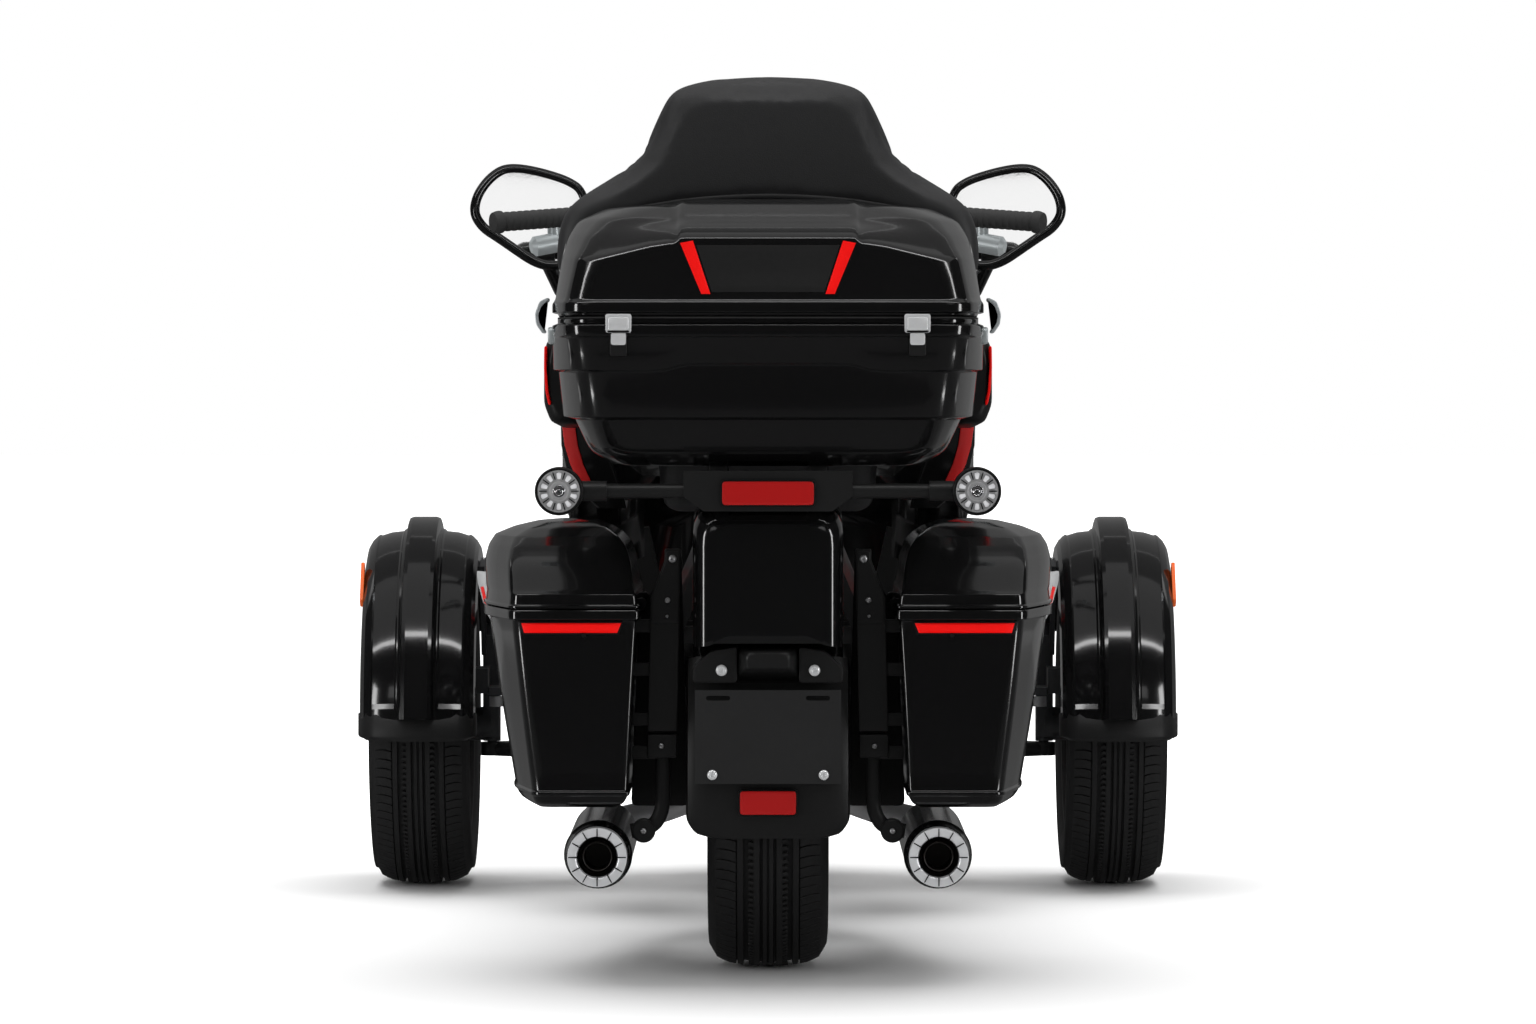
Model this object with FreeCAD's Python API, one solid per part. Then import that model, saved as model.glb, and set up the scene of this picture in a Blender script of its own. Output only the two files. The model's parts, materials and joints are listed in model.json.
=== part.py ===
import FreeCAD, Part
import math
import os

# Motorized trike: two steered wheels in front, one driven wheel behind.
# Millimetres. +Y is forward, +X is the rider's right, +Z is up.
# The origin is on the floor, under the middle of the whole vehicle.

V = FreeCAD.Vector

# ---------------------------------------------------------------- driving dimensions
WHEELBASE = 1700.0
FRONT_TRACK = 1227.0
FRONT_OVERHANG = 400.0

FRONT_TYRE_RADIUS = 285.0
FRONT_TYRE_WIDTH = 178.0
REAR_TYRE_RADIUS = 300.0
REAR_TYRE_WIDTH = 184.0
TYRE_BEAD_RADIUS = 190.0
RIM_WALL = 12.0
RIM_INSET = 20.0            # rim edge inside the tyre's widest point, each side
HUB_RADIUS = 42.0
AXLE_RADIUS = 14.0
DISC_RADIUS = 135.0
DISC_THICKNESS = 5.0
SPOKES = 5
RUN_GAP = 0.1               # radial clearance of a turning bore

KINGPIN_X = 495.0
KINGPIN_RADIUS = 20.0
LOWER_BALL_Z = 240.0
UPPER_BALL_Z = 478.0
BALL_PIN = 8.0
SHOCK_FOOT_Z = 274.0
STEER_ARM = 110.0           # kingpin to the tie rod, to the rear
TIE_ROD_Z = 330.0
TIE_ROD_RADIUS = 9.0

FENDER_WIDTH = 202.0
FENDER_GAP = 64.0           # tyre to the fender's crown
FENDER_SKIN = 5.0
FENDER_DROP = 58.0          # side wall depth under the crown
FENDER_RIB_WIDTH = 54.0
FENDER_RIB_HEIGHT = 22.0
FENDER_FRONT_DEG = 28.0     # ends of the fender's arc, seen from the right side
FENDER_REAR_DEG = 176.0
FLARE_DEG = 10.0            # matt lower flare, past the rear end of the arc

HEAD_Y = 1430.0             # handlebar clamp, from the rear axle
HEAD_Z = 1120.0
HEAD_RAKE_DEG = 26.0
GRIP_END_X = 472.0
GRIP_END_Z = 1173.0
GRIP_RADIUS = 17.0
BAR_RADIUS = 11.0
COLUMN_RADIUS = 13.0
HEAD_WALL = 12.0
COLUMN_LENGTH = 330.0

CASE_REAR = 462.0           # top case's rear face at its rim, behind the rear axle
CASE_LENGTH = 510.0
CASE_RIM_HALF = 326.0
CASE_RIM_Z = 996.0
CASE_BOTTOM_Z = 776.0
CASE_WALL = 6.0
LID_GAP = 3.0
LATCH_DEPTH = 14.0          # draw latch, out from the case's rear face
SIDE_LATCH_DEPTH = 26.0
LID_TOP_Z = 1172.0
HINGE_PIN = 4.0
HINGE_LUG = 5.0             # wall of a hinge knuckle round its pin
FEET_Z = 753.3               # top of the tail rails, with the seating gap

BAG_REAR = 384.0            # saddlebag's rear face, behind the rear axle
BAG_LENGTH = 600.0
BAG_INNER_X = 192.0
BAG_OUTER_X = 436.0
BAG_BOTTOM_Z = 266.0
BAG_SEAM_Z = 562.0
BAG_TOP_Z = 692.0
BAG_WALL = 5.0
BAG_INNER_SLOPE = 44.0      # how far the lid leans away from the tail at its top
BAG_HINGES = (-200.0, 90.0)  # middles of a lid's hinges, from the rear axle
BAG_KNUCKLE = 22.0          # length of one hinge knuckle

SIGNAL_X = 309.0
SIGNAL_Z = 740.0
SIGNAL_RADIUS = 36.0
SIGNAL_DEPTH = 62.0
TAIL_HALF = 125.0
TAIL_TOP_Z = 774.0
TAIL_BOTTOM_Z = 710.0

MUFFLER_X = 255.0
MUFFLER_Z = 192.0
MUFFLER_RADIUS = 58.0
MUFFLER_LENGTH = 560.0
MUFFLER_REAR = 330.0
TIP_RADIUS = 45.0
TIP_BORE = 31.0
TIP_LENGTH = 34.0
PIPE_RADIUS = 22.0

PLATE_HALF = 109.0
PLATE_HEIGHT = 140.0
PLATE_THICKNESS = 5.0
PLATE_SLOT_SPACING = 149.0
PLATE_SLOT_LENGTH = 36.0
PLATE_SLOT_HEIGHT = 7.0
PLATE_SLOT_DROP = 12.0      # slots under the plate's upper edge

MUDGUARD_HALF = 123.0
REAR_FENDER_HALF = 113.0
REAR_FENDER_GAP = 34.0

SEAT_RIDER_Z = 772.0
SEAT_PASSENGER_Z = 880.0
SEAT_THICKNESS = 85.0
SEAT_LOW_Z = 690.0
BACKREST_TOP_Z = 1374.0
BACKREST_TOP_HALF = 150.0
BACKREST_HALF = 318.0
BACKREST_THICKNESS = 90.0
SEAT_GAP = 0.3              # soft pieces stand this far off what carries them

MIRROR_Y = 1560.0           # mirror's rear face, from the rear axle
MIRROR_DEPTH = 66.0
MIRROR_RIM = 17.0
MIRROR_TURN_DEG = 15.0      # mirror turned in towards the rider
MIRROR_TILT_DEG = 7.0       # and up
BOARD_Z = 338.0             # rider's footboard, top face
PEG_Z = 412.0               # passenger's footboard, top face
BOARD_THICKNESS = 14.0
FRAME_SPLITS = (380.0, 1330.0)   # where the frame's rear and front lengths are welded on

# ---------------------------------------------------------------- places worked out
REAR_OVERHANG = CASE_REAR + LATCH_DEPTH
Y_REAR = -(WHEELBASE + FRONT_OVERHANG - REAR_OVERHANG) / 2
Y_FRONT = Y_REAR + WHEELBASE
WHEEL_X = FRONT_TRACK / 2
CROWN_RADIUS = FRONT_TYRE_RADIUS + FENDER_GAP
RIM_RADIUS = TYRE_BEAD_RADIUS
CASE_FRONT = CASE_LENGTH - CASE_REAR    # case's front face, from the rear axle
LID_HINGE_Y = Y_REAR + CASE_FRONT + 12
PLATE_LOW_Z = REAR_TYRE_RADIUS + 2
PLATE_TOP_Z = PLATE_LOW_Z + PLATE_HEIGHT
PLATE_SLOT_Z = PLATE_TOP_Z - PLATE_SLOT_DROP
BAG_HINGE_Z = BAG_SEAM_Z + LID_GAP


# ---------------------------------------------------------------- helpers
def box(x, y, z):
    """Block between the low and high value of each pair."""
    return Part.makeBox(x[1] - x[0], y[1] - y[0], z[1] - z[0], V(x[0], y[0], z[0]))


def rod(start, end, radius, bore=0.0):
    """Round bar, or a tube where bore is given."""
    a, b = V(*start), V(*end)
    along = b - a
    shape = Part.makeCylinder(radius, along.Length, a, along)
    if bore:
        shape = shape.cut(Part.makeCylinder(bore, along.Length, a, along))
    return shape


def pipe(points, radius):
    """Round bar through points, with a ball at each bend."""
    parts = [rod(a, b, radius) for a, b in zip(points, points[1:])]
    parts += [Part.makeSphere(radius, V(*p)) for p in points[1:-1]]
    return fuse(parts)


def beam(start, end, width, height):
    """Box bar along a line, width across and height upright, ends run on by half the width."""
    a, b = V(*start), V(*end)
    along = (b - a).normalize()
    a, b = a - along * (width / 2), b + along * (width / 2)
    side = along.cross(V(0, 0, 1))
    if side.Length < 0.05:
        side = V(1, 0, 0)
    side.normalize()
    up = side.cross(along).normalize()
    s, u = side * (width / 2), up * (height / 2)
    ring = [a - s - u, a + s - u, a + s + u, a - s + u]
    face = Part.Face(Part.makePolygon(ring + ring[:1]))
    return face.extrude(b - a)


def fuse(parts):
    shape = parts[0]
    if len(parts) > 1:
        shape = parts[0].multiFuse(parts[1:])
    return shape.removeSplitter()


def mirrored(shape):
    """The same shape on the other side of the vehicle."""
    return shape.mirror(V(0, 0, 0), V(1, 0, 0))


def both(shape):
    return Part.makeCompound([shape, mirrored(shape)])


def prism_x(points_yz, x0, x1):
    """Outline in the Y-Z plane, run from x0 to x1."""
    ring = [V(x0, y, z) for y, z in points_yz]
    return Part.Face(Part.makePolygon(ring + ring[:1])).extrude(V(x1 - x0, 0, 0))


def prism_y(points_xz, y0, y1):
    """Outline in the X-Z plane, run from y0 to y1."""
    ring = [V(x, y0, z) for x, z in points_xz]
    return Part.Face(Part.makePolygon(ring + ring[:1])).extrude(V(0, y1 - y0, 0))


def loft(rings):
    """Solid with straight walls between closed rings of equally many points."""
    wires = [Part.makePolygon([V(*p) for p in ring + ring[:1]]) for ring in rings]
    return Part.makeLoft(wires, True, True)


def octagon(y, x0, x1, z0, z1, cut):
    """Rectangle across the vehicle at y, its corners cut off."""
    return [(x0 + cut, y, z0), (x1 - cut, y, z0), (x1, y, z0 + cut), (x1, y, z1 - cut),
            (x1 - cut, y, z1), (x0 + cut, y, z1), (x0, y, z1 - cut), (x0, y, z0 + cut)]


def hull(table, grow=0.0):
    """Loft of octagons. Rows: y from the rear axle, x0, x1, z0, z1, corner cut."""
    return loft([octagon(Y_REAR + y, x0 - grow, x1 + grow, z0 - grow, z1 + grow, cut)
                 for y, x0, x1, z0, z1, cut in table])


def spin_about_axle(points_xr, y, z, start_deg=0.0, turn_deg=360.0):
    """Outline of (x, radius) turned about the axle line through y, z."""
    ring = [V(x, y + r, z) for x, r in points_xr]
    face = Part.Face(Part.makePolygon(ring + ring[:1]))
    face.rotate(V(0, y, z), V(1, 0, 0), start_deg)
    if turn_deg == 360.0:
        return face.revolve(V(0, y, z), V(1, 0, 0), 360)
    return face.revolve(V(0, y, z), V(1, 0, 0), turn_deg)


# ---------------------------------------------------------------- wheels
def tyre(x, y, radius, width):
    half = width / 2
    bead = half - RIM_INSET
    wall = (radius + TYRE_BEAD_RADIUS) / 2
    outline = [(-bead, TYRE_BEAD_RADIUS), (bead, TYRE_BEAD_RADIUS), (half - 6, wall - 22),
               (half, wall), (half - 4, wall + 22), (half - 16, radius - 9),
               (half - 26, radius - 2), (half - 48, radius), (48 - half, radius),
               (26 - half, radius - 2), (16 - half, radius - 9), (4 - half, wall + 22),
               (-half, wall), (6 - half, wall - 22)]
    return spin_about_axle([(x + px, r) for px, r in outline], y, radius)


def rim(x, y, radius, width, side):
    """Cast wheel with its brake disc. side is +1 where the outside is at +X."""
    bead = width / 2 - RIM_INSET
    barrel = RIM_RADIUS - RIM_WALL
    out = x + side * bead
    web0, web1 = out - side * 34, out - side * 10
    disc0 = x - side * (bead - 12)
    disc1 = disc0 + side * DISC_THICKNESS
    parts = [rod((x - bead, y, radius), (x + bead, y, radius), RIM_RADIUS, barrel),
             rod((web0, y, radius), (web1, y, radius), barrel + 1),
             rod((disc0, y, radius), (disc1, y, radius), DISC_RADIUS),
             rod((disc0, y, radius), (web1, y, radius), HUB_RADIUS)]
    shape = fuse(parts)
    window = []
    for r, spread in ((72, 22), (158, 29), (158, -29), (72, -22)):
        a = math.radians(spread)
        window.append((y + r * math.cos(a), radius + r * math.sin(a)))
    slot = prism_x(window, min(web0, web1) - 2, max(web0, web1) + 2)
    for i in range(SPOKES):
        cut = slot.copy()
        cut.rotate(V(x, y, radius), V(1, 0, 0), 90 + 360.0 * i / SPOKES)
        shape = shape.cut(cut)
    reach = width
    bore = rod((x - reach, y, radius), (x + reach, y, radius), AXLE_RADIUS + RUN_GAP)
    return shape.cut(bore)


# ---------------------------------------------------------------- front corner, right side
def front_fender():
    half = FENDER_WIDTH / 2
    low = CROWN_RADIUS - FENDER_DROP
    rib = FENDER_RIB_WIDTH / 2
    top = CROWN_RADIUS + FENDER_RIB_HEIGHT
    t = FENDER_SKIN
    outer = [(-half, low), (-half, CROWN_RADIUS - 16), (14 - half, CROWN_RADIUS),
             (-rib - 6, CROWN_RADIUS), (-rib, top), (rib, top), (rib + 6, CROWN_RADIUS),
             (half - 14, CROWN_RADIUS), (half, CROWN_RADIUS - 16), (half, low)]
    inner = [(half - t, low), (half - t, CROWN_RADIUS - 16 - t), (half - 14 - t, CROWN_RADIUS - t),
             (rib + 2, CROWN_RADIUS - t), (rib - 4, top - t), (4 - rib, top - t),
             (-rib - 2, CROWN_RADIUS - t), (14 + t - half, CROWN_RADIUS - t),
             (t - half, CROWN_RADIUS - 16 - t), (t - half, low)]
    ring = [(WHEEL_X + x, r) for x, r in outer + inner]
    shell = spin_about_axle(ring, Y_FRONT, FRONT_TYRE_RADIUS, FENDER_FRONT_DEG,
                            FENDER_REAR_DEG - FENDER_FRONT_DEG)
    flare_ring = [(WHEEL_X + x, r) for x, r in
                  [(-half, low), (-half, CROWN_RADIUS - 4), (half, CROWN_RADIUS - 4), (half, low),
                   (half - t, low), (half - t, CROWN_RADIUS - 4 - t),
                   (t - half, CROWN_RADIUS - 4 - t), (t - half, low)]]
    flare = spin_about_axle(flare_ring, Y_FRONT, FRONT_TYRE_RADIUS, FENDER_REAR_DEG, FLARE_DEG)
    return fuse([shell, flare])


def side_reflector():
    """Amber reflector low on the fender's outer wall, to the rear."""
    x = WHEEL_X + FENDER_WIDTH / 2
    a = math.radians(126)
    r = CROWN_RADIUS - 34
    y = Y_FRONT + r * math.cos(a)
    z = FRONT_TYRE_RADIUS + r * math.sin(a)
    shape = box((x, x + 5), (y - 11, y + 11), (z - 42, z + 42))
    shape.rotate(V(x, y, z), V(1, 0, 0), -36)
    return shape


def knuckle():
    """Upright with stub axle, steering arm, caliper and the fender's two stays."""
    x, y = KINGPIN_X, Y_FRONT
    low, high = LOWER_BALL_Z + 14, UPPER_BALL_Z - 14
    axle_z = FRONT_TYRE_RADIUS
    wheel_in = WHEEL_X - FRONT_TYRE_WIDTH / 2 + RIM_INSET
    wall_x = WHEEL_X - FENDER_WIDTH / 2
    parts = [rod((x, y, low), (x, y, high), KINGPIN_RADIUS - 4),
             rod((x, y, LOWER_BALL_Z - 12), (x, y, UPPER_BALL_Z + 12), BALL_PIN),
             box((x - 14, wall_x - 3), (y - 26, y + 26), (low + 8, high - 20)),
             rod((x, y, axle_z), (wheel_in + 6, y, axle_z), 30),
             rod((x, y, axle_z), (WHEEL_X + FRONT_TYRE_WIDTH / 2 - RIM_INSET - 12, y, axle_z),
                 AXLE_RADIUS),
             beam((x, y - 20, TIE_ROD_Z + 18), (x - 10, y - STEER_ARM, TIE_ROD_Z + 18), 24, 14),
             box((x + 2, wheel_in + 6), (y - 118, y - 20), (axle_z + 59, axle_z + 104))]
    for side in (-1, 1):
        foot = (wall_x - 4.5, y + side * 18, high - 46)
        head = (wall_x - 4.5, y + side * 95, axle_z + CROWN_RADIUS - FENDER_DROP - 5)
        parts.append(beam(foot, head, 9, 24))
    return fuse(parts)


# ---------------------------------------------------------------- front suspension and steering
def control_arms():
    parts = []
    # columns: ball height, frame half spread in y, frame x, frame height
    for ball_z, spread, frame_x, frame_z in ((LOWER_BALL_Z, 200, 181.3, 238),
                                             (UPPER_BALL_Z, 110, 209.3, 472)):
        ball = (KINGPIN_X, Y_FRONT, ball_z)
        parts.append(rod((KINGPIN_X, Y_FRONT, ball_z - 12), (KINGPIN_X, Y_FRONT, ball_z + 12),
                         KINGPIN_RADIUS))
        for side in (-1, 1):
            eye = (frame_x, Y_FRONT + side * spread, frame_z)
            parts.append(rod(eye, ball, 13))
            parts.append(rod((frame_x, eye[1] - 22, frame_z), (frame_x, eye[1] + 22, frame_z), 18))
    shelf = box((360, 400), (Y_FRONT - 76, Y_FRONT + 76), (240, SHOCK_FOOT_Z - 15.3))
    bore = rod((KINGPIN_X, Y_FRONT, 0), (KINGPIN_X, Y_FRONT, 900), BALL_PIN + RUN_GAP)
    return both(fuse(parts[:5] + [shelf]).cut(bore)), both(fuse(parts[5:]).cut(bore))


def front_shock():
    low = V(380, Y_FRONT, SHOCK_FOOT_Z)
    high = V(264.5, Y_FRONT, 612)
    along = (high - low).normalize()
    span = (high - low).Length
    parts = [Part.makeCylinder(15, span, low, along),
             Part.makeCylinder(33, span * 0.62, low + along * span * 0.3, along),
             rod((low.x, Y_FRONT - 26, low.z), (low.x, Y_FRONT + 26, low.z), 15),
             rod((high.x, Y_FRONT - 24, high.z), (high.x, Y_FRONT + 24, high.z), 18)]
    return fuse(parts)


def tie_rods():
    y = Y_FRONT - STEER_ARM
    end = KINGPIN_X - 14
    parts = [rod((-end, y, TIE_ROD_Z), (end, y, TIE_ROD_Z), TIE_ROD_RADIUS)]
    for side in (-1, 1):
        parts.append(rod((side * end, y, TIE_ROD_Z - 9), (side * end, y, TIE_ROD_Z + 9), 14))
    return fuse(parts)


def steering_rack():
    y = Y_FRONT - STEER_ARM
    tube = rod((-158, y, TIE_ROD_Z), (158, y, TIE_ROD_Z), 26, TIE_ROD_RADIUS + RUN_GAP)
    foot = box((-60, 60), (y - 50, y + 20), (255 + SEAT_GAP, TIE_ROD_Z - 10))
    bore = rod((-158, y, TIE_ROD_Z), (158, y, TIE_ROD_Z), 22)
    return fuse([tube, foot.cut(bore)])


# ---------------------------------------------------------------- handlebar
def head_line(distance):
    """Point on the steering axis, distance down from the clamp."""
    a = math.radians(HEAD_RAKE_DEG)
    return (0, Y_REAR + HEAD_Y + distance * math.sin(a), HEAD_Z - distance * math.cos(a))


def bar_points():
    y = Y_REAR + HEAD_Y
    return [(0, y - 8, HEAD_Z + 14), (110, y - 12, HEAD_Z + 34), (250, y - 66, GRIP_END_Z + 14),
            (330, y - 108, GRIP_END_Z + 12), (GRIP_END_X, y - 180, GRIP_END_Z)]


def handlebar():
    right = bar_points()
    left = [(-x, y, z) for x, y, z in reversed(right[1:])]
    tube = pipe(left + right, BAR_RADIUS)
    column = rod(head_line(0), head_line(COLUMN_LENGTH), COLUMN_RADIUS)
    clamp = beam((-46, Y_REAR + HEAD_Y - 2, HEAD_Z + 6), (46, Y_REAR + HEAD_Y - 2, HEAD_Z + 6), 56, 44)
    return fuse([tube, column, clamp])


def grips():
    points = bar_points()
    inner, end = V(*points[3]), V(*points[4])
    along = (end - inner).normalize()
    sleeve = Part.makeCylinder(GRIP_RADIUS, (end - inner).Length - 6, inner + along * 10, along)
    flange = Part.makeCylinder(GRIP_RADIUS + 3, 8, end - along * 4, along)
    shape = fuse([sleeve, flange])
    core = Part.makeCylinder(BAR_RADIUS, (end - inner).Length, inner, along)
    return both(shape.cut(core))


def switchgear():
    points = bar_points()
    a, b = V(*points[2]), V(*points[3])
    along = (b - a).normalize()
    span = (b - a).Length
    shape = Part.makeCylinder(25, span - 22, a + along * 16, along)
    return both(shape.cut(Part.makeCylinder(BAR_RADIUS, span * 2, a - along * span * 0.5, along)))


# ---------------------------------------------------------------- frame and drive
def frame():
    r = Y_REAR
    f = Y_FRONT
    tail_y = r - 384
    pivot_y = r + 430
    tail_z = FEET_Z - 0.3 - 15
    parts = []
    for s in (-1, 1):
        parts += [beam((s * 146, f + 250, 238), (s * 146, f - 320, 238), 34, 44),
                  beam((s * 146, f - 320, 238), (s * 96, pivot_y, 300), 34, 44),
                  beam((s * 176, f + 110, 238), (s * 176, f + 110, 450), 30, 30),
                  beam((s * 176, f - 150, 238), (s * 176, f - 150, 450), 30, 30),
                  beam((s * 176, f - 150, 450), (s * 176, f + 110, 450), 30, 34),
                  beam((s * 190, f, 462), (s * 226, f, 618), 34, 34),
                  beam((s * 176, f - 150, 450), (s * 96, f - 330, 640), 30, 34),
                  beam((s * 96, f - 330, 640), (s * 96, pivot_y, 628), 30, 40),
                  beam((s * 96, pivot_y, 300), (s * 96, pivot_y, 628), 34, 50),
                  beam((s * 96, pivot_y, 628), (s * 74, r + 20, tail_z), 28, 34),
                  beam((s * 74, r + 20, tail_z), (s * 74, tail_y, tail_z), 28, 30)]
        # columns: y, x, foot, top of the seat's posts
        for y, x, foot, top in ((560, 96, 630, SEAT_LOW_Z), (860, 96, 636, SEAT_LOW_Z),
                                (250, 84, 680, SEAT_PASSENGER_Z - SEAT_THICKNESS)):
            parts.append(box(sorted((s * (x - 11), s * (x + 11))), (r + y - 11, r + y + 11),
                             (foot, top - SEAT_GAP)))
    # columns: y, z, half length, section
    for y, z, half, size in ((f + 250, 238, 146, 34), (f - 150, 238, 146, 34), (f, 238, 146, 34),
                             (f - 150, 450, 176, 30), (f + 110, 450, 176, 30),
                             (pivot_y, 300, 96, 40), (pivot_y, 628, 96, 34),
                             (r + 20, tail_z, 74, 28), (tail_y, tail_z, 74, 28)):
        parts.append(beam((-half, y, z), (half, y, z), size, size))
    shape = fuse(parts)
    top, foot = head_line(70), head_line(COLUMN_LENGTH - 20)
    parts = [rod(top, foot, COLUMN_RADIUS + HEAD_WALL)]
    for s in (-1, 1):
        parts.append(beam((s * 20, foot[1], foot[2] + 20), (s * 96, f - 300, 634), 24, 34))
    shape = fuse([shape] + parts)
    return shape.cut(rod(head_line(0), head_line(COLUMN_LENGTH + 12), COLUMN_RADIUS + RUN_GAP))


def frame_part(rear, front):
    """The welded frame's length between two places, from the rear axle."""
    part = frame().common(box((-900, 900), (Y_REAR + rear, Y_REAR + front), (0, 2000)))
    return part.removeSplitter()


def engine_block():
    return hull([(762, -125, 125, 299.9, 560, 30), (1180, -135, 135, 299.9, 600, 40)])


def swingarm():
    """Two legs, the pivot tube between them and the rear wheel's axle."""
    z = REAR_TYRE_RADIUS
    leg_x = REAR_TYRE_WIDTH / 2 + 32
    pivot_y = Y_REAR + 384.5
    parts = [beam((-leg_x, pivot_y, 300), (leg_x, pivot_y, 300), 40, 56)]
    for s in (-1, 1):
        parts.append(beam((s * leg_x, pivot_y, 300), (s * leg_x, Y_REAR, z), 26, 56))
        parts.append(box(sorted((s * (leg_x - 13), s * (leg_x + 17))), (Y_REAR - 52, Y_REAR + 30),
                         (z - 34, z + 34)))
    parts.append(rod((-leg_x, Y_REAR, z), (leg_x, Y_REAR, z), AXLE_RADIUS))
    return fuse(parts)


def muffler_can(grow=0.0):
    tail = Y_REAR - MUFFLER_REAR
    return rod((MUFFLER_X, tail, MUFFLER_Z), (MUFFLER_X, tail + MUFFLER_LENGTH, MUFFLER_Z),
               MUFFLER_RADIUS + grow)


def mufflers():
    tail = Y_REAR - MUFFLER_REAR
    body = muffler_can()
    nose = Part.makeCone(MUFFLER_RADIUS, PIPE_RADIUS + 4, 90,
                         V(MUFFLER_X, tail + MUFFLER_LENGTH, MUFFLER_Z), V(0, 1, 0))
    header = pipe([(MUFFLER_X, tail + MUFFLER_LENGTH + 85, MUFFLER_Z),
                   (MUFFLER_X, Y_REAR + 420, MUFFLER_Z), (180, Y_REAR + 640, 196),
                   (110, Y_REAR + 800, 214)], PIPE_RADIUS)
    bore = rod((MUFFLER_X, tail - 1, MUFFLER_Z), (MUFFLER_X, tail + 60, MUFFLER_Z), TIP_RADIUS + 0.2)
    return both(fuse([body, nose, header]).cut(bore))


def exhaust_tips():
    tail = Y_REAR - MUFFLER_REAR
    ring = rod((MUFFLER_X, tail - TIP_LENGTH, MUFFLER_Z), (MUFFLER_X, tail + 60, MUFFLER_Z),
               TIP_RADIUS, TIP_BORE)
    return both(ring)


# ---------------------------------------------------------------- tail
def rear_fender():
    """Curved guard over the rear tyre, with the cowl that closes it under the tail."""
    r_in = REAR_TYRE_RADIUS + REAR_FENDER_GAP
    h = REAR_FENDER_HALF
    t = 5
    ring = [(-h, r_in - 26), (-h, r_in + t), (h, r_in + t), (h, r_in - 26), (h - t, r_in - 26),
            (h - t, r_in), (t - h, r_in), (t - h, r_in - 26)]
    guard = spin_about_axle(ring, Y_REAR, REAR_TYRE_RADIUS, 62, 82)
    top = FEET_Z - 0.6 - 30
    foot = REAR_TYRE_RADIUS + 206
    rows = ((-r_in - 42, -92, 92, foot, top - 26, 24), (-r_in - 6, -h, h, foot, top - 6, 24),
            (-120, -h, h, foot + 54, top, 20), (16, -h + 12, h - 12, foot + 94, top - 14, 20))
    cowl = hull(rows).cut(hull([(y + 5, x0 + t, x1 - t, z0 - 60, z1 - t, cut)
                                for y, x0, x1, z0, z1, cut in rows]))
    wheel_room = rod((-300, Y_REAR, REAR_TYRE_RADIUS), (300, Y_REAR, REAR_TYRE_RADIUS), r_in + t)
    return fuse([guard, cowl.cut(wheel_room)])


def mudguard():
    """Lower guard behind the tyre, which carries the plate bracket."""
    r_in = REAR_TYRE_RADIUS + REAR_FENDER_GAP
    h = MUDGUARD_HALF
    ring = [(-h, r_in - 18), (-h, r_in + 6), (h, r_in + 6), (h, r_in - 18), (h - 5, r_in - 18),
            (h - 5, r_in), (5 - h, r_in), (5 - h, r_in - 18)]
    shell = spin_about_axle(ring, Y_REAR, REAR_TYRE_RADIUS, 144, 50)
    y = Y_REAR - r_in - 4
    lamp_z = REAR_TYRE_RADIUS + 152
    lamp = hull([(-r_in - 46, -69 / 2, 69 / 2, lamp_z, lamp_z + 42, 8),
                 (-r_in + 38, -52, 52, lamp_z, lamp_z + 56, 8)])
    lamp = lamp.cut(rod((-200, Y_REAR, REAR_TYRE_RADIUS), (200, Y_REAR, REAR_TYRE_RADIUS), r_in + 3))
    carrier = box((-70, 70), (y - 22, y + 20), (PLATE_LOW_Z + 28, PLATE_LOW_Z + 118))
    carrier = carrier.cut(rod((-200, Y_REAR, REAR_TYRE_RADIUS), (200, Y_REAR, REAR_TYRE_RADIUS),
                              r_in + 3))
    return fuse([shell, lamp, carrier])


def plate_bracket():
    y = Y_REAR - REAR_TYRE_RADIUS - REAR_FENDER_GAP - 26
    plate = box((-PLATE_HALF, PLATE_HALF), (y - PLATE_THICKNESS, y), (PLATE_LOW_Z, PLATE_TOP_Z))
    for s in (-1, 1):
        x = s * PLATE_SLOT_SPACING / 2
        end = PLATE_SLOT_LENGTH / 2 - PLATE_SLOT_HEIGHT / 2
        slot = box((x - end, x + end), (y - 20, y + 5),
                   (PLATE_SLOT_Z - PLATE_SLOT_HEIGHT / 2, PLATE_SLOT_Z + PLATE_SLOT_HEIGHT / 2))
        for e in (-end, end):
            slot = slot.fuse(rod((x + e, y - 20, PLATE_SLOT_Z), (x + e, y + 5, PLATE_SLOT_Z),
                                 PLATE_SLOT_HEIGHT / 2))
        plate = plate.cut(slot)
    return plate


def tail_bracket():
    """Cross plate under the top case, with the bars that carry the turn signals."""
    y = Y_REAR - 412
    plate = prism_y([(-TAIL_HALF, TAIL_TOP_Z - 4), (TAIL_HALF, TAIL_TOP_Z - 4),
                     (TAIL_HALF, TAIL_BOTTOM_Z + 22), (TAIL_HALF - 30, TAIL_BOTTOM_Z),
                     (30 - TAIL_HALF, TAIL_BOTTOM_Z), (-TAIL_HALF, TAIL_BOTTOM_Z + 22)], y - 26, y)
    parts = [plate]
    for s in (-1, 1):
        parts.append(rod((s * (TAIL_HALF - 8), y - 13, SIGNAL_Z),
                         (s * (SIGNAL_X - SIGNAL_RADIUS + 12), y - 13, SIGNAL_Z), 11))
        parts.append(rod((s * (SIGNAL_X - SIGNAL_RADIUS - 34), y - 13, SIGNAL_Z),
                         (s * (SIGNAL_X - SIGNAL_RADIUS + 12), y - 13, SIGNAL_Z), 15))
        parts.append(box(sorted((s * 63, s * 85)), (y - 4, Y_REAR - 384 - 14.3), (727, 749)))
    shape = fuse(parts)
    for s in (-1, 1):
        shape = shape.cut(signal_housing(s * SIGNAL_X))
    return shape


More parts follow.
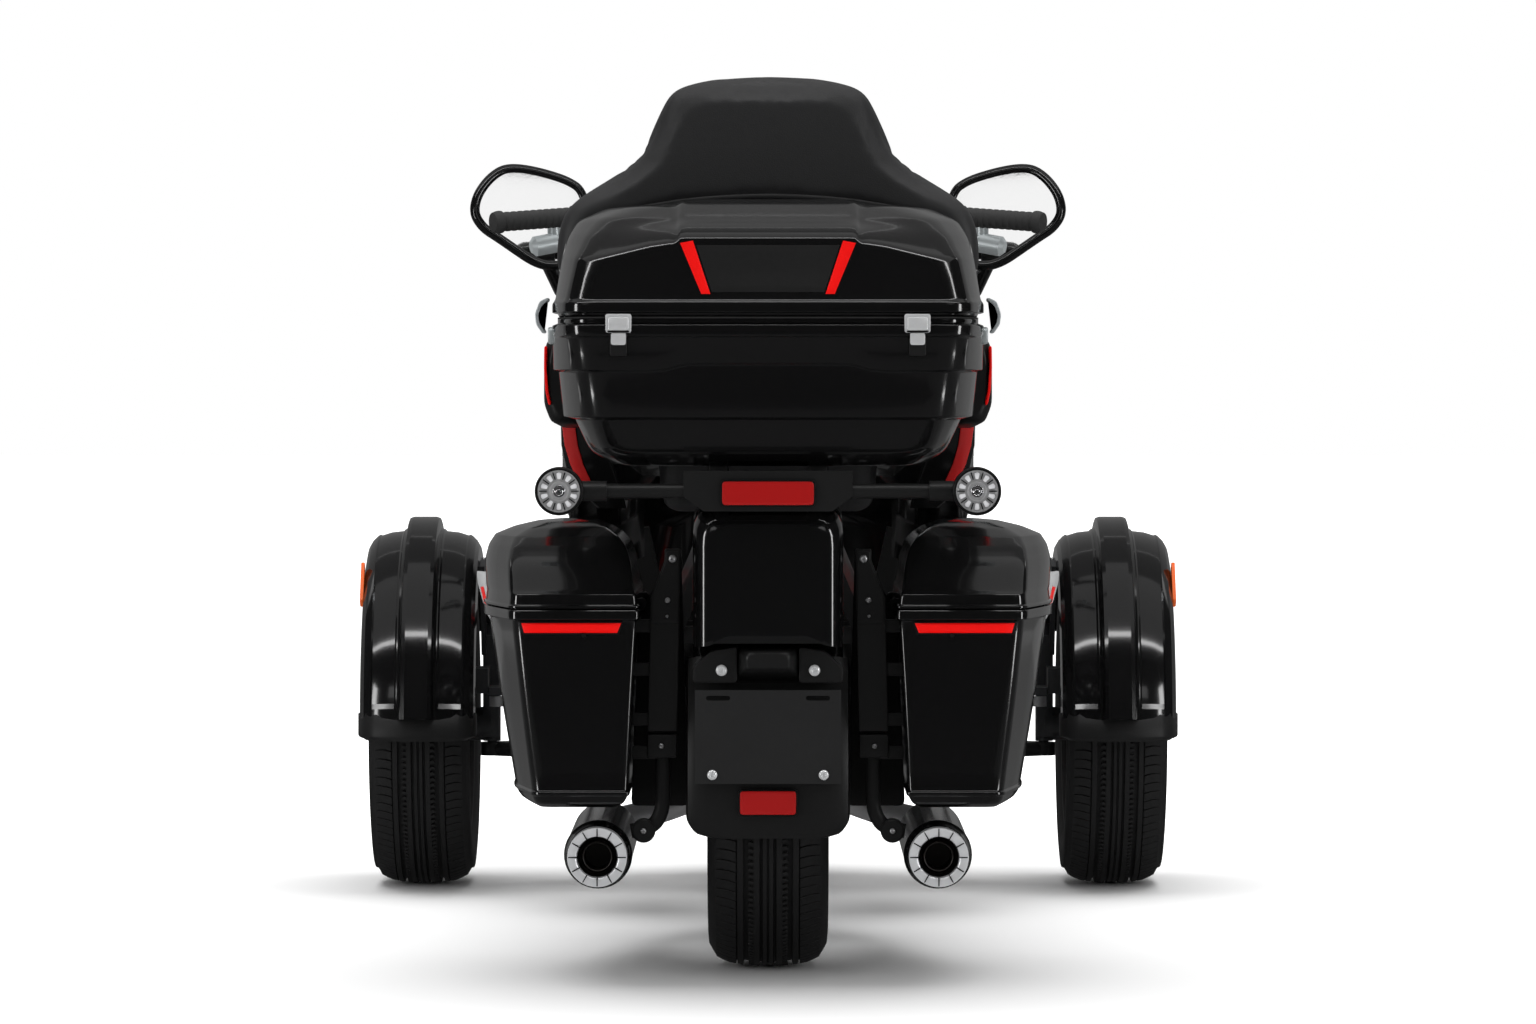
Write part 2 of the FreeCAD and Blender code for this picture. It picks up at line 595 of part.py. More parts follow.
def signal_housing(x):
    y = Y_REAR - 412
    return rod((x, y - 13 - SIGNAL_DEPTH / 2, SIGNAL_Z), (x, y - 13 + SIGNAL_DEPTH / 2, SIGNAL_Z),
               SIGNAL_RADIUS)


def turn_signals():
    parts = []
    for s in (-1, 1):
        shell = signal_housing(s * SIGNAL_X)
        parts.append(shell)
    return Part.makeCompound(parts)


def rear_reflectors():
    """Red reflectors: on the tail plate, on the mudguard and on both bags."""
    y = Y_REAR - 412 - 26
    top = box((-68, 68), (y - 7, y), (726, 762))
    low_y = Y_REAR - REAR_TYRE_RADIUS - REAR_FENDER_GAP - 6
    low = box((-43, 43), (low_y - 14, low_y + 20), (REAR_TYRE_RADIUS - 47, REAR_TYRE_RADIUS - 10))
    low = low.cut(rod((-200, Y_REAR, REAR_TYRE_RADIUS), (200, Y_REAR, REAR_TYRE_RADIUS),
                      REAR_TYRE_RADIUS + REAR_FENDER_GAP + 6.2))
    bag_y = Y_REAR - BAG_REAR
    strip = prism_y([(222, 548), (370, 548), (364, 530), (228, 530)], bag_y - 6, bag_y)
    return Part.makeCompound([top, low, strip, mirrored(strip)])


def bag_brackets():
    """Upright strap between the rear fender and each bag, bolted to the tail rails."""
    parts = [box((128, 172), (Y_REAR - 300, Y_REAR - 286), (334, 652)),
             box((170, BAG_INNER_X + 16), (Y_REAR - 300, Y_REAR - 260), (380, 420)),
             box((170, BAG_INNER_X + 16), (Y_REAR - 300, Y_REAR - 260), (500, 540)),
             box((REAR_FENDER_HALF + SEAT_GAP, 134), (Y_REAR - 300, Y_REAR - 286), (600, 640)),
             box((150, BAG_INNER_X - 2), (Y_REAR - 300, Y_REAR - 286), (212, 340)),
             box((180, MUFFLER_X - 36), (Y_REAR - 300, Y_REAR - 286), (204, BAG_BOTTOM_Z - 4))]
    shape = fuse(parts).cut(bag_solid(-SEAT_GAP))
    return both(shape.cut(muffler_can(SEAT_GAP)))


# ---------------------------------------------------------------- saddlebags, right side
def bag_rows():
    """Rows: y from the rear axle, outer x, bottom, lid top, corner cut."""
    rear = -BAG_REAR
    return [(rear, BAG_OUTER_X - 52, BAG_BOTTOM_Z + 14, BAG_SEAM_Z + 26, 12),
            (rear + 0.38 * BAG_LENGTH, BAG_OUTER_X, BAG_BOTTOM_Z, BAG_TOP_Z, 26),
            (rear + 0.75 * BAG_LENGTH, BAG_OUTER_X, BAG_BOTTOM_Z + 6, BAG_TOP_Z, 26),
            (rear + BAG_LENGTH, BAG_OUTER_X - 40, BAG_BOTTOM_Z + 40, BAG_TOP_Z - 40, 20)]


def bag_ring(row, inset):
    y, outer, low, top, cut = row
    x0, x1 = BAG_INNER_X + inset, outer - inset
    z0, z1 = low + inset, top - inset
    draft = 18
    return [(x0 + draft, Y_REAR + y, z0), (x1 - draft - cut, Y_REAR + y, z0),
            (x1 - draft, Y_REAR + y, z0 + cut), (x1, Y_REAR + y, BAG_SEAM_Z),
            (x1 - cut, Y_REAR + y, z1), (x0 + BAG_INNER_SLOPE, Y_REAR + y, z1),
            (x0, Y_REAR + y, BAG_SEAM_Z)]


def bag_solid(inset):
    rows = bag_rows()
    if inset:
        first, last = list(rows[0]), list(rows[-1])
        first[0] += inset
        last[0] -= inset
        rows = [tuple(first)] + rows[1:-1] + [tuple(last)]
    return loft([bag_ring(row, inset) for row in rows])


def hinge_rod(y0, y1, radius):
    """Round bar along a bag's hinge line, from y0 to y1 past the rear axle."""
    return rod((BAG_INNER_X, Y_REAR + y0, BAG_HINGE_Z), (BAG_INNER_X, Y_REAR + y1, BAG_HINGE_Z),
               radius)


def saddlebag():
    """Bag, with the rear knuckle and the pin of each of its lid's hinges."""
    lug = HINGE_PIN + HINGE_LUG
    shape = bag_solid(0).cut(bag_solid(BAG_WALL)).common(
        box((0, 900), (-2000, 2000), (0, BAG_SEAM_Z)))
    for y in BAG_HINGES:
        shape = shape.cut(hinge_rod(y - 1, y + BAG_KNUCKLE + 1, lug + 1))
    for y in BAG_HINGES:
        shape = fuse([shape, hinge_rod(y - BAG_KNUCKLE, y - 1, lug),
                      hinge_rod(y - BAG_KNUCKLE, y + BAG_KNUCKLE, HINGE_PIN)])
    return shape


def bag_lid():
    """Lid, with the front knuckle of each hinge."""
    lug = HINGE_PIN + HINGE_LUG
    shape = bag_solid(0).cut(bag_solid(BAG_WALL)).common(
        box((0, 900), (-2000, 2000), (BAG_SEAM_Z + LID_GAP, 2000)))
    for y in BAG_HINGES:
        shape = shape.cut(hinge_rod(y - BAG_KNUCKLE - 1, y, lug + 1))
    for y in BAG_HINGES:
        shape = fuse([shape, hinge_rod(y, y + BAG_KNUCKLE, lug)])
        shape = shape.cut(hinge_rod(y - 3, y + BAG_KNUCKLE + 3, HINGE_PIN + RUN_GAP))
    return shape


def bag_latch():
    """Latch on the lid's outer wall, over the seam."""
    y = Y_REAR + 20
    x = BAG_OUTER_X
    return box((x + 0.2, x + 16), (y - 40, y + 40), (BAG_SEAM_Z - 30, BAG_SEAM_Z + 46)).cut(
        bag_solid(0))


# ---------------------------------------------------------------- top case
def case_ring(z, rear_half, side_half, rear, inset):
    """Plan of the case: narrow at the rear, widest by its middle, cut corners in front."""
    y0 = Y_REAR - rear + inset
    y1 = Y_REAR - CASE_REAR + CASE_LENGTH - inset
    return [(-rear_half + inset, y0, z), (rear_half - inset, y0, z),
            (side_half - inset, y0 + 170, z), (side_half - inset, y1 - 60, z),
            (side_half - 60 - inset, y1, z), (60 - side_half + inset, y1, z),
            (inset - side_half, y1 - 60, z), (inset - side_half, y0 + 170, z)]


# columns: z, half width at the rear, half width at the side, rear face from the rear axle
CASE_ROWS = ((CASE_BOTTOM_Z, CASE_RIM_HALF - 94, CASE_RIM_HALF - 64, CASE_REAR - 57),
             (CASE_RIM_Z - 138, CASE_RIM_HALF - 53, CASE_RIM_HALF - 9, CASE_REAR - 24),
             (CASE_RIM_Z - 80, CASE_RIM_HALF - 44, CASE_RIM_HALF - 2, CASE_REAR - 16),
             (CASE_RIM_Z - 14, CASE_RIM_HALF - 34, CASE_RIM_HALF, CASE_REAR - 6),
             (CASE_RIM_Z, CASE_RIM_HALF - 28, CASE_RIM_HALF, CASE_REAR))
LID_ROWS = ((CASE_RIM_Z + LID_GAP, CASE_RIM_HALF - 28, CASE_RIM_HALF, CASE_REAR),
            (CASE_RIM_Z + 30, CASE_RIM_HALF - 30, CASE_RIM_HALF - 2, CASE_REAR - 2),
            (CASE_RIM_Z + 96, CASE_RIM_HALF - 50, CASE_RIM_HALF - 22, CASE_REAR - 32),
            (CASE_RIM_Z + 144, CASE_RIM_HALF - 90, CASE_RIM_HALF - 56, CASE_REAR - 102),
            (LID_TOP_Z, CASE_RIM_HALF - 156, CASE_RIM_HALF - 111, CASE_REAR - 212))


def case_solid(rows, inset, lift):
    rings = []
    last = len(rows) - 1
    for i, (z, rear_half, side_half, rear) in enumerate(rows):
        if inset and i == 0 and lift > 0:
            z = z + inset
        if inset and i == last and lift < 0:
            z = z - inset
        rings.append(case_ring(z, rear_half, side_half, rear, inset))
    return loft(rings)


def case_base():
    outer = case_solid(CASE_ROWS, 0, 0)
    inner = case_solid(CASE_ROWS, CASE_WALL, 1)
    shape = outer.cut(inner)
    feet = [box(sorted((s * 60, s * 88)), (Y_REAR - 370, Y_REAR - 40), (FEET_Z, CASE_BOTTOM_Z))
            for s in (-1, 1)]
    pins = []
    for s in (-1, 1):
        lug = sorted((s * 118, s * 134))
        pins.append(box(lug, (LID_HINGE_Y - 13, LID_HINGE_Y + 6), (CASE_RIM_Z - 20, CASE_RIM_Z - 3)))
        pins.append(box(lug, (LID_HINGE_Y - 8, LID_HINGE_Y + 6), (CASE_RIM_Z - 20, CASE_RIM_Z + 6)))
        pins.append(rod((s * 118, LID_HINGE_Y, CASE_RIM_Z), (s * 160, LID_HINGE_Y, CASE_RIM_Z),
                        HINGE_PIN))
    return fuse([shape] + feet + pins)


def case_lid():
    outer = case_solid(LID_ROWS, 0, 0)
    inner = case_solid(LID_ROWS, CASE_WALL, -1)
    parts = [outer.cut(inner)]
    bores = []
    for s in (-1, 1):
        parts.append(box(sorted((s * 140, s * 154)), (LID_HINGE_Y - 14, LID_HINGE_Y),
                         (CASE_RIM_Z + 4, CASE_RIM_Z + 20)))
        parts.append(rod((s * 140, LID_HINGE_Y, CASE_RIM_Z), (s * 154, LID_HINGE_Y, CASE_RIM_Z),
                         HINGE_PIN + HINGE_LUG))
        bores.append(rod((s * 130, LID_HINGE_Y, CASE_RIM_Z), (s * 170, LID_HINGE_Y, CASE_RIM_Z),
                         HINGE_PIN + RUN_GAP))
    return fuse(parts).cut(fuse(bores))


def largest(shape):
    return max(shape.Solids, key=lambda s: s.Volume)


def case_latches():
    """Draw latches: two on the case's rear face, and one on each side over the seam."""
    y = Y_REAR - CASE_REAR
    latch = box((206, 246), (y - LATCH_DEPTH, y - 0.4), (CASE_RIM_Z - 64, CASE_RIM_Z - 12))
    keeper = box((214, 238), (y - 12, y + 14), (CASE_RIM_Z - 78, CASE_RIM_Z - 60))
    case = case_solid(CASE_ROWS, 0, 0)
    rear = largest(fuse([latch, keeper]).cut(case))
    x = CASE_RIM_HALF
    over = box((x + 0.4, x + SIDE_LATCH_DEPTH), (y + 222, y + 288), (CASE_RIM_Z - 36, CASE_RIM_Z + 30))
    foot = box((x - 12, x + 12), (y + 235, y + 275), (CASE_RIM_Z - 44, CASE_RIM_Z - 28))
    side = largest(fuse([over, foot]).cut(case))
    return Part.makeCompound([rear, mirrored(rear), side, mirrored(side)])


def pods():
    """Padded side pods in front of the case, beside the passenger."""
    pod = hull([(CASE_FRONT - 38, 296, 347, 836, 970, 14),
                (CASE_FRONT + 142, 250, 338, 826, 960, 20),
                (CASE_FRONT + 214, 240, 300, 850, 930, 16)])
    return both(pod.cut(case_solid(CASE_ROWS, -SEAT_GAP, 0)))


def backrest():
    """Passenger backrest with wings that run down the lid's sides."""
    y = Y_REAR + CASE_FRONT + SEAT_GAP
    t = BACKREST_THICKNESS
    half = [(0, BACKREST_TOP_Z), (BACKREST_TOP_HALF, BACKREST_TOP_Z - 8), (172, 1262), (212, 1212),
            (BACKREST_HALF - 10, 1196), (BACKREST_HALF + 17, 1160), (BACKREST_HALF + 17, 1052),
            (BACKREST_HALF - 34, 1052), (BACKREST_HALF - 60, 1120), (0, 1132)]
    left = [(-x, z) for x, z in reversed(half[1:-1])]
    return prism_y(half + left, y, y + t)


# ---------------------------------------------------------------- body, seat and front
# columns: y from the rear axle, half width, bottom, top, corner cut
SEAT_ROWS = ((168, 150, SEAT_PASSENGER_Z - SEAT_THICKNESS, SEAT_PASSENGER_Z, 26),
             (400, 172, SEAT_PASSENGER_Z - SEAT_THICKNESS, SEAT_PASSENGER_Z, 26),
             (500, 176, SEAT_LOW_Z, SEAT_PASSENGER_Z - 8, 26),
             (560, 178, SEAT_LOW_Z, SEAT_RIDER_Z + 8, 26),
             (790, 168, SEAT_LOW_Z, SEAT_RIDER_Z, 26),
             (940, 104, SEAT_LOW_Z, SEAT_RIDER_Z + 18, 26))


def symmetric(rows, shrink=0.0, drop=0.0):
    """Hull rows from rows of y, half width, bottom, top, corner cut."""
    return [(y, shrink - w, w - shrink, z0 - drop, z1 - shrink, cut) for y, w, z0, z1, cut in rows]


def seat():
    """Rider's and passenger's cushion, in two levels."""
    return hull(symmetric(SEAT_ROWS))


BODY_ROWS = ((285, 300, 690, 836, 34), (420, 330, 676, 842, 40), (520, 310, 600, 800, 40),
             (640, 250, 560, 750, 40), (900, 212, 570, 752, 40), (980, 216, 580, 850, 40),
             (1180, 240, 600, 965, 50), (1400, 300, 668, 1010, 50))
BODY_SKIN = 5.0


def bodywork():
    """Side covers and tank cover as one shell, open below, with the seat's bay in it."""
    shell = hull(symmetric(BODY_ROWS)).cut(hull(symmetric(BODY_ROWS, BODY_SKIN, 60)))
    bay = [(y, w + SEAT_GAP, z0 - SEAT_GAP, z1 + 200, cut) for y, w, z0, z1, cut in SEAT_ROWS]
    return shell.cut(hull(symmetric(bay))).cut(frame_room())


def frame_room():
    """Space for the seat posts and the head tube."""
    parts = [rod(head_line(-20), head_line(COLUMN_LENGTH), COLUMN_RADIUS + HEAD_WALL + 1)]
    return parts[0]


FAIRING_ROWS = ((1400.3, 302, 690, 1012, 50), (1560, 352, 690, 1040, 60),
                (1800, 345, 690, 960, 70), (1980, 285, 664, 852, 60), (2080, 205, 650, 770, 40))
NOSE_ROWS = ((1930, 285, 260.3, 690, 40), (2040, 250, 300, 690, 40), (2096, 170, 360, 670, 40))


def front_fairing():
    """Upper fairing, open below, and the nose between the wheels."""
    upper = hull(symmetric(FAIRING_ROWS))
    hollow = hull(symmetric(FAIRING_ROWS[:-1], BODY_SKIN, 60))
    nose = hull(symmetric(NOSE_ROWS))
    nose_hollow = hull([(y - 5, x0, x1, z0 + 5, z1, cut) for y, x0, x1, z0, z1, cut in
                        symmetric(NOSE_ROWS, BODY_SKIN)])
    nose = nose.cut(nose_hollow)
    tip = box((-60, 60), (Y_REAR + 2092, Y_FRONT + FRONT_OVERHANG), (600, 640))
    nose = nose.cut(hollow)
    shell = fuse([upper.cut(hollow).cut(nose_hollow), nose, tip])
    return shell.cut(frame_room()).cut(headlamp_room())


def headlamp_room():
    """Outline of both headlamps, run through the fairing's front."""
    outline = [(66, 706), (70, 770), (150, 806), (262, 816), (248, 752), (160, 700)]
    shape = prism_y(outline, Y_REAR + 1900, Y_REAR + 2200)
    return fuse([shape, mirrored(shape)])


def headlamps():
    """Lens and housing of both headlamps, flush with the fairing."""
    body = hull(symmetric(FAIRING_ROWS, -1.0)).cut(hull(symmetric(
        [(y - 40, w, z0, z1 - 30, cut) for y, w, z0, z1, cut in FAIRING_ROWS])))
    return both(largest(body.common(headlamp_room())))


# columns: z, half width, front of the middle, sweep back of the sides
SCREEN_ROWS = ((955, 250, 1800, 130), (1060, 300, 1752, 140), (1180, 280, 1672, 120),
               (1290, 210, 1594, 80), (1334, 150, 1562, 50))
SCREEN_THICKNESS = 5.0


def screen_ring(z, half, front, sweep):
    shares = (-1, -0.62, 0, 0.62, 1)
    outer = [(half * k, Y_REAR + front - sweep * k * k, z) for k in shares]
    inner = [(x, y - SCREEN_THICKNESS, z) for x, y, z in reversed(outer)]
    return outer + inner


def windscreen():
    screen = loft([screen_ring(*row) for row in SCREEN_ROWS])
    return largest(screen.cut(hull(symmetric(FAIRING_ROWS))))


MIRROR_OUTLINE = ((318, 1243), (452, 1286), (500, 1262), (533, 1208), (517, 1171), (391, 1095),
                  (330, 1082), (300, 1150))


def mirror_ring(y, share):
    """Mirror outline at y, drawn in towards its middle by share."""
    x_mid = sum(x for x, z in MIRROR_OUTLINE) / len(MIRROR_OUTLINE)
    z_mid = sum(z for x, z in MIRROR_OUTLINE) / len(MIRROR_OUTLINE)
    wide = share / math.cos(math.radians(MIRROR_TURN_DEG))
    return [(x_mid + (x - x_mid) * wide, Y_REAR + y, z_mid + (z - z_mid) * share)
            for x, z in MIRROR_OUTLINE]


def aimed(shape):
    """Right mirror's shape turned in and up about its middle."""
    middle = V(sum(x for x, z in MIRROR_OUTLINE) / len(MIRROR_OUTLINE), Y_REAR + MIRROR_Y + 30,
               sum(z for x, z in MIRROR_OUTLINE) / len(MIRROR_OUTLINE))
    shape.rotate(middle, V(1, 0, 0), -MIRROR_TILT_DEG)
    shape.rotate(middle, V(0, 0, 1), -MIRROR_TURN_DEG)
    return shape


def mirror_glass():
    share = 1 - 2 * MIRROR_RIM / 190
    return both(aimed(loft([mirror_ring(MIRROR_Y + 4, share), mirror_ring(MIRROR_Y + 7, share)])))


def mirrors():
    """Housings on arms from the fairing's shoulders, with a recess for the glass."""
    share = 1 - 2 * MIRROR_RIM / 190
    body = loft([mirror_ring(MIRROR_Y, 1), mirror_ring(MIRROR_Y + 22, 0.98),
                 mirror_ring(MIRROR_Y + MIRROR_DEPTH, 0.66)])
    recess = loft([mirror_ring(MIRROR_Y - 1, share), mirror_ring(MIRROR_Y + 7, share)])
    arm = beam((352, Y_REAR + MIRROR_Y + 30, 1110), (306, Y_REAR + MIRROR_Y + 60, 1010), 44, 26)
    arm = arm.cut(hull(symmetric(FAIRING_ROWS, -0.3)))
    body = aimed(body.cut(recess))
    arm = largest(arm.cut(aimed(loft([mirror_ring(MIRROR_Y - 60, 1), mirror_ring(MIRROR_Y + 20, 1)]))))
    return both(fuse([body, arm]))


def footboards():
    """Boards for rider and passenger, each on a bracket from the frame."""
    t = BOARD_THICKNESS
    parts = [box((228, 386), (Y_REAR + 950, Y_REAR + 1262), (BOARD_Z - t, BOARD_Z)),
             beam((300, Y_REAR + 1180, BOARD_Z - t - 8), (160.5, Y_REAR + 1180, 262), 26, 16)]
    front = fuse(parts)
    parts = [box((176, 322), (Y_REAR + 452, Y_REAR + 610), (PEG_Z - t, PEG_Z)),
             box((96 + 17.3, 190), (Y_REAR + 424, Y_REAR + 482), (PEG_Z - 34, PEG_Z - t))]
    shape = both(front.cut(frame()))
    return Part.makeCompound([shape, both(fuse(parts).cut(frame()))])


def build():
    wheel_right = tyre(WHEEL_X, Y_FRONT, FRONT_TYRE_RADIUS, FRONT_TYRE_WIDTH)
    rim_right = rim(WHEEL_X, Y_FRONT, FRONT_TYRE_RADIUS, FRONT_TYRE_WIDTH, 1)
    lower, upper = control_arms()
    nodes = {
        "tyre_front_right": wheel_right,
        "tyre_front_left": mirrored(wheel_right),
        "rim_front_right": rim_right,
        "rim_front_left": mirrored(rim_right),
        "tyre_rear": tyre(0, Y_REAR, REAR_TYRE_RADIUS, REAR_TYRE_WIDTH),
        "rim_rear": rim(0, Y_REAR, REAR_TYRE_RADIUS, REAR_TYRE_WIDTH, 1),
        "knuckle_right": knuckle(),
        "knuckle_left": mirrored(knuckle()),
        "fender_right": front_fender(),
        "fender_left": mirrored(front_fender()),
        "side_reflector_right": side_reflector(),
        "side_reflector_left": mirrored(side_reflector()),
        "lower_arms": lower,
        "upper_arms": upper,
        "front_shocks": both(front_shock()),
        "tie_rods": tie_rods(),
        "steering_rack": steering_rack(),
        "handlebar": handlebar(),
        "grips": grips(),
        "switchgear": switchgear(),
        "frame_rear": frame_part(-1000, FRAME_SPLITS[0]),
        "frame_middle": frame_part(*FRAME_SPLITS),
        "frame_front": frame_part(FRAME_SPLITS[1], 3000),
        "engine_block": engine_block(),
        "swingarm": swingarm(),
        "mufflers": mufflers(),
        "exhaust_tips": exhaust_tips(),
        "rear_fender": rear_fender(),
        "mudguard": mudguard(),
        "plate_bracket": plate_bracket(),
        "tail_bracket": tail_bracket(),
        "turn_signals": turn_signals(),
        "rear_reflectors": rear_reflectors(),
        "bag_brackets": bag_brackets(),
        "saddlebag_right": saddlebag(),
        "saddlebag_left": mirrored(saddlebag()),
        "bag_lid_right": bag_lid(),
        "bag_lid_left": mirrored(bag_lid()),
        "bag_latch_right": bag_latch(),
        "bag_latch_left": mirrored(bag_latch()),
        "case_base": case_base(),
        "case_lid": case_lid(),
        "case_latches": case_latches(),
        "pods": pods(),
        "backrest": backrest(),
        "seat": seat(),
        "bodywork": bodywork(),
        "front_fairing": front_fairing(),
        "windscreen": windscreen(),
        "headlamps": headlamps(),
        "mirrors": mirrors(),
        "mirror_glass": mirror_glass(),
        "footboards": footboards(),
    }
    return nodes


def main():
    os.makedirs("parts", exist_ok=True)
    for name, shape in build().items():
        shape.exportStep("parts/" + name + ".step")


main()
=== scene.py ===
"""Finishes and detail of a motorized trike, built round its packed CAD frame."""

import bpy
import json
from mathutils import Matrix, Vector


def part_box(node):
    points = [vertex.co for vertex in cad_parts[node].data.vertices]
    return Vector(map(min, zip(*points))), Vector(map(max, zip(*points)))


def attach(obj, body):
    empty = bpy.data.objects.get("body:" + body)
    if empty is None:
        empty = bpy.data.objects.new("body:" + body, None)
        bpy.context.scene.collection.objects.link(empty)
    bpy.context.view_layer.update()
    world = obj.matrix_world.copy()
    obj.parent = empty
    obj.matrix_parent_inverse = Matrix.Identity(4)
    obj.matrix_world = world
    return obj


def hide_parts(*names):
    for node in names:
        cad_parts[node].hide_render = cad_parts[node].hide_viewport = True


bl_info = {
    "name": "Touring trike looks",
    "version": (1, 0, 0),
    "blender": (4, 5, 0),
    "location": "View3D > Sidebar > Trike",
    "description": "Finishes, shells and small parts of a three-wheeled touring motorcycle",
    "category": "Object",
}

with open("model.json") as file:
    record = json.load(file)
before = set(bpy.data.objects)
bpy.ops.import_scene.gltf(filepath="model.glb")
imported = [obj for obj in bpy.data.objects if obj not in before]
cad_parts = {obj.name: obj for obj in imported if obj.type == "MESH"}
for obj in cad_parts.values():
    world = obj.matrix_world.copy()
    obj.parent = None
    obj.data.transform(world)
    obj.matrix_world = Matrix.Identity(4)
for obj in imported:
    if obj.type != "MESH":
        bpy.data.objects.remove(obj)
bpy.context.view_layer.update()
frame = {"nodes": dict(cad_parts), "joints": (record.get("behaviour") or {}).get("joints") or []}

import json
import math

import bmesh
import bpy
import numpy as np
from bpy.props import FloatProperty, FloatVectorProperty, IntProperty, PointerProperty
from mathutils import Matrix, Vector
from mathutils.bvhtree import BVHTree

NODES = frame["nodes"]
JOINTS = {joint["name"]: joint for joint in frame["joints"]}


def middle(node):
    low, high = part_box(node)
    return (low + high) / 2


def half_size(node, axis=0):
    low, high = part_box(node)
    return (high[axis] - low[axis]) / 2


REAR_AXLE = middle("tyre_rear")
FRONT_AXLE = middle("tyre_front_right")
REAR_RADIUS = half_size("tyre_rear", 2)
FRONT_RADIUS = half_size("tyre_front_right", 2)
CASE_SEAM = JOINTS["case_lid_hinge"]["pos_m"][2]
CASE_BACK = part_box("case_base")[0].y
CASE_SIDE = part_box("case_base")[1].x
BAG_LID_EDGE = JOINTS["bag_lid_right_hinge"]["pos_m"][2]
BAG_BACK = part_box("saddlebag_right")[0].y
BAG_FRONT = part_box("saddlebag_right")[1].y
SIDES = ((1, "right"), (-1, "left"))
# columns: place, middle, radius, the side that its face looks to
WHEELS = [("rear", REAR_AXLE, REAR_RADIUS, 1)] + [
    (f"front_{hand}", Vector((side * FRONT_AXLE.x, FRONT_AXLE.y, FRONT_AXLE.z)), FRONT_RADIUS, side)
    for side, hand in SIDES]


# ------------ settings
def colour(label, about, rgb):
    return FloatVectorProperty(name=label, description=about, default=rgb, size=3, min=0.0,
                               max=1.0, subtype="COLOR")


def length(label, about, metres, low=0.0):
    return FloatProperty(name=label, description=about, default=metres, min=low, unit="LENGTH",
                         precision=4)


class TrikeColours(bpy.types.PropertyGroup):
    gloss: colour("Gloss paint", "Colour of the painted shells", (0.0042, 0.0042, 0.0044))
    satin: colour("Satin plastic", "Colour of unpainted plastic", (0.011, 0.011, 0.0112))
    vinyl: colour("Vinyl", "Colour of the seat and backrest cover", (0.026, 0.026, 0.027))
    plate: colour("Plate bracket", "Colour of the coated plate bracket", (0.018, 0.018, 0.0185))
    rubber: colour("Tyre rubber", "Colour of the tyres", (0.012, 0.012, 0.0124))
    red_lens: colour("Red lens", "Colour of reflectors", (0.62, 0.002, 0.002))
    red_strip: colour("Red strip", "Colour of the glued red strips", (0.95, 0.004, 0.003))
    amber_lens: colour("Amber lens", "Colour of the side reflectors", (0.62, 0.045, 0.006))
    stripe: colour("Body stripe", "Colour of the painted stripes", (0.62, 0.02, 0.02))


class TrikeTread(bpy.types.PropertyGroup):
    pitches: IntProperty(name="Shoulder blocks", description="Blocks round one shoulder",
                         default=104, min=24, max=160)
    teeth: IntProperty(name="Teeth", description="Teeth round one toothed rib", default=168,
                       min=24, max=240)
    depth: length("Groove depth", "Depth of the grooves between the ribs", 0.006)
    gap: FloatProperty(name="Gap share", description="Share of a pitch that is groove",
                       default=0.14, min=0.02, max=0.5, subtype="FACTOR")


class TrikeCase(bpy.types.PropertyGroup):
    crease_rise: length("Crease rise", "How much the lid's crease climbs to its middle", 0.023)
    centre_raise: length("Centre raise", "How far the lid's middle stands proud", 0.006)
    centre_half: length("Centre half width", "Half width of the lid's raised middle", 0.134)
    wall: length("Wall", "Thickness of the case's and the bags' shells", 0.005)


class TrikeSmall(bpy.types.PropertyGroup):
    bolt: length("Bolt head", "Radius of the small bolt heads", 0.0085)
    tip_slots: IntProperty(name="Tip slots", description="Slots round an exhaust tip", default=12,
                           min=4, max=24)
    lamp_rays: IntProperty(name="Lamp rays", description="Segments round a turn signal",
                           default=10, min=4, max=32)
    stitch: length("Stitch pitch", "Distance from stitch to stitch", 0.007, 0.002)


class TrikeStage(bpy.types.PropertyGroup):
    distance: length("Camera distance", "Camera to the rear axle, along the ground", 10.56)
    height: length("Camera height", "Camera above the floor", 0.923)
    pitch: FloatProperty(name="Camera pitch", description="How far the camera looks down",
                         default=math.radians(1.21), subtype="ANGLE")
    lens: FloatProperty(name="Lens", description="Focal length on a 36 mm sensor",
                        default=160.4, unit="CAMERA")
    ambient: FloatProperty(name="Ambient", description="Light from all round", default=0.72,
                           min=0.0, max=2.0)
    strips: FloatProperty(name="Strips", description="How bright the reflected strips are",
                          default=10.0, min=0.0, max=40.0)


GROUPS = {"trike_colours": TrikeColours, "trike_tread": TrikeTread, "trike_case": TrikeCase,
          "trike_small": TrikeSmall, "trike_stage": TrikeStage}


def settings(name):
    return getattr(bpy.context.scene, name)


# ------------ outlines
def step(low, high, x):
    """0 before low, 1 after high, smooth between them."""
    t = min(1.0, max(0.0, (x - low) / (high - low)))
    return t * t * (3 - 2 * t)


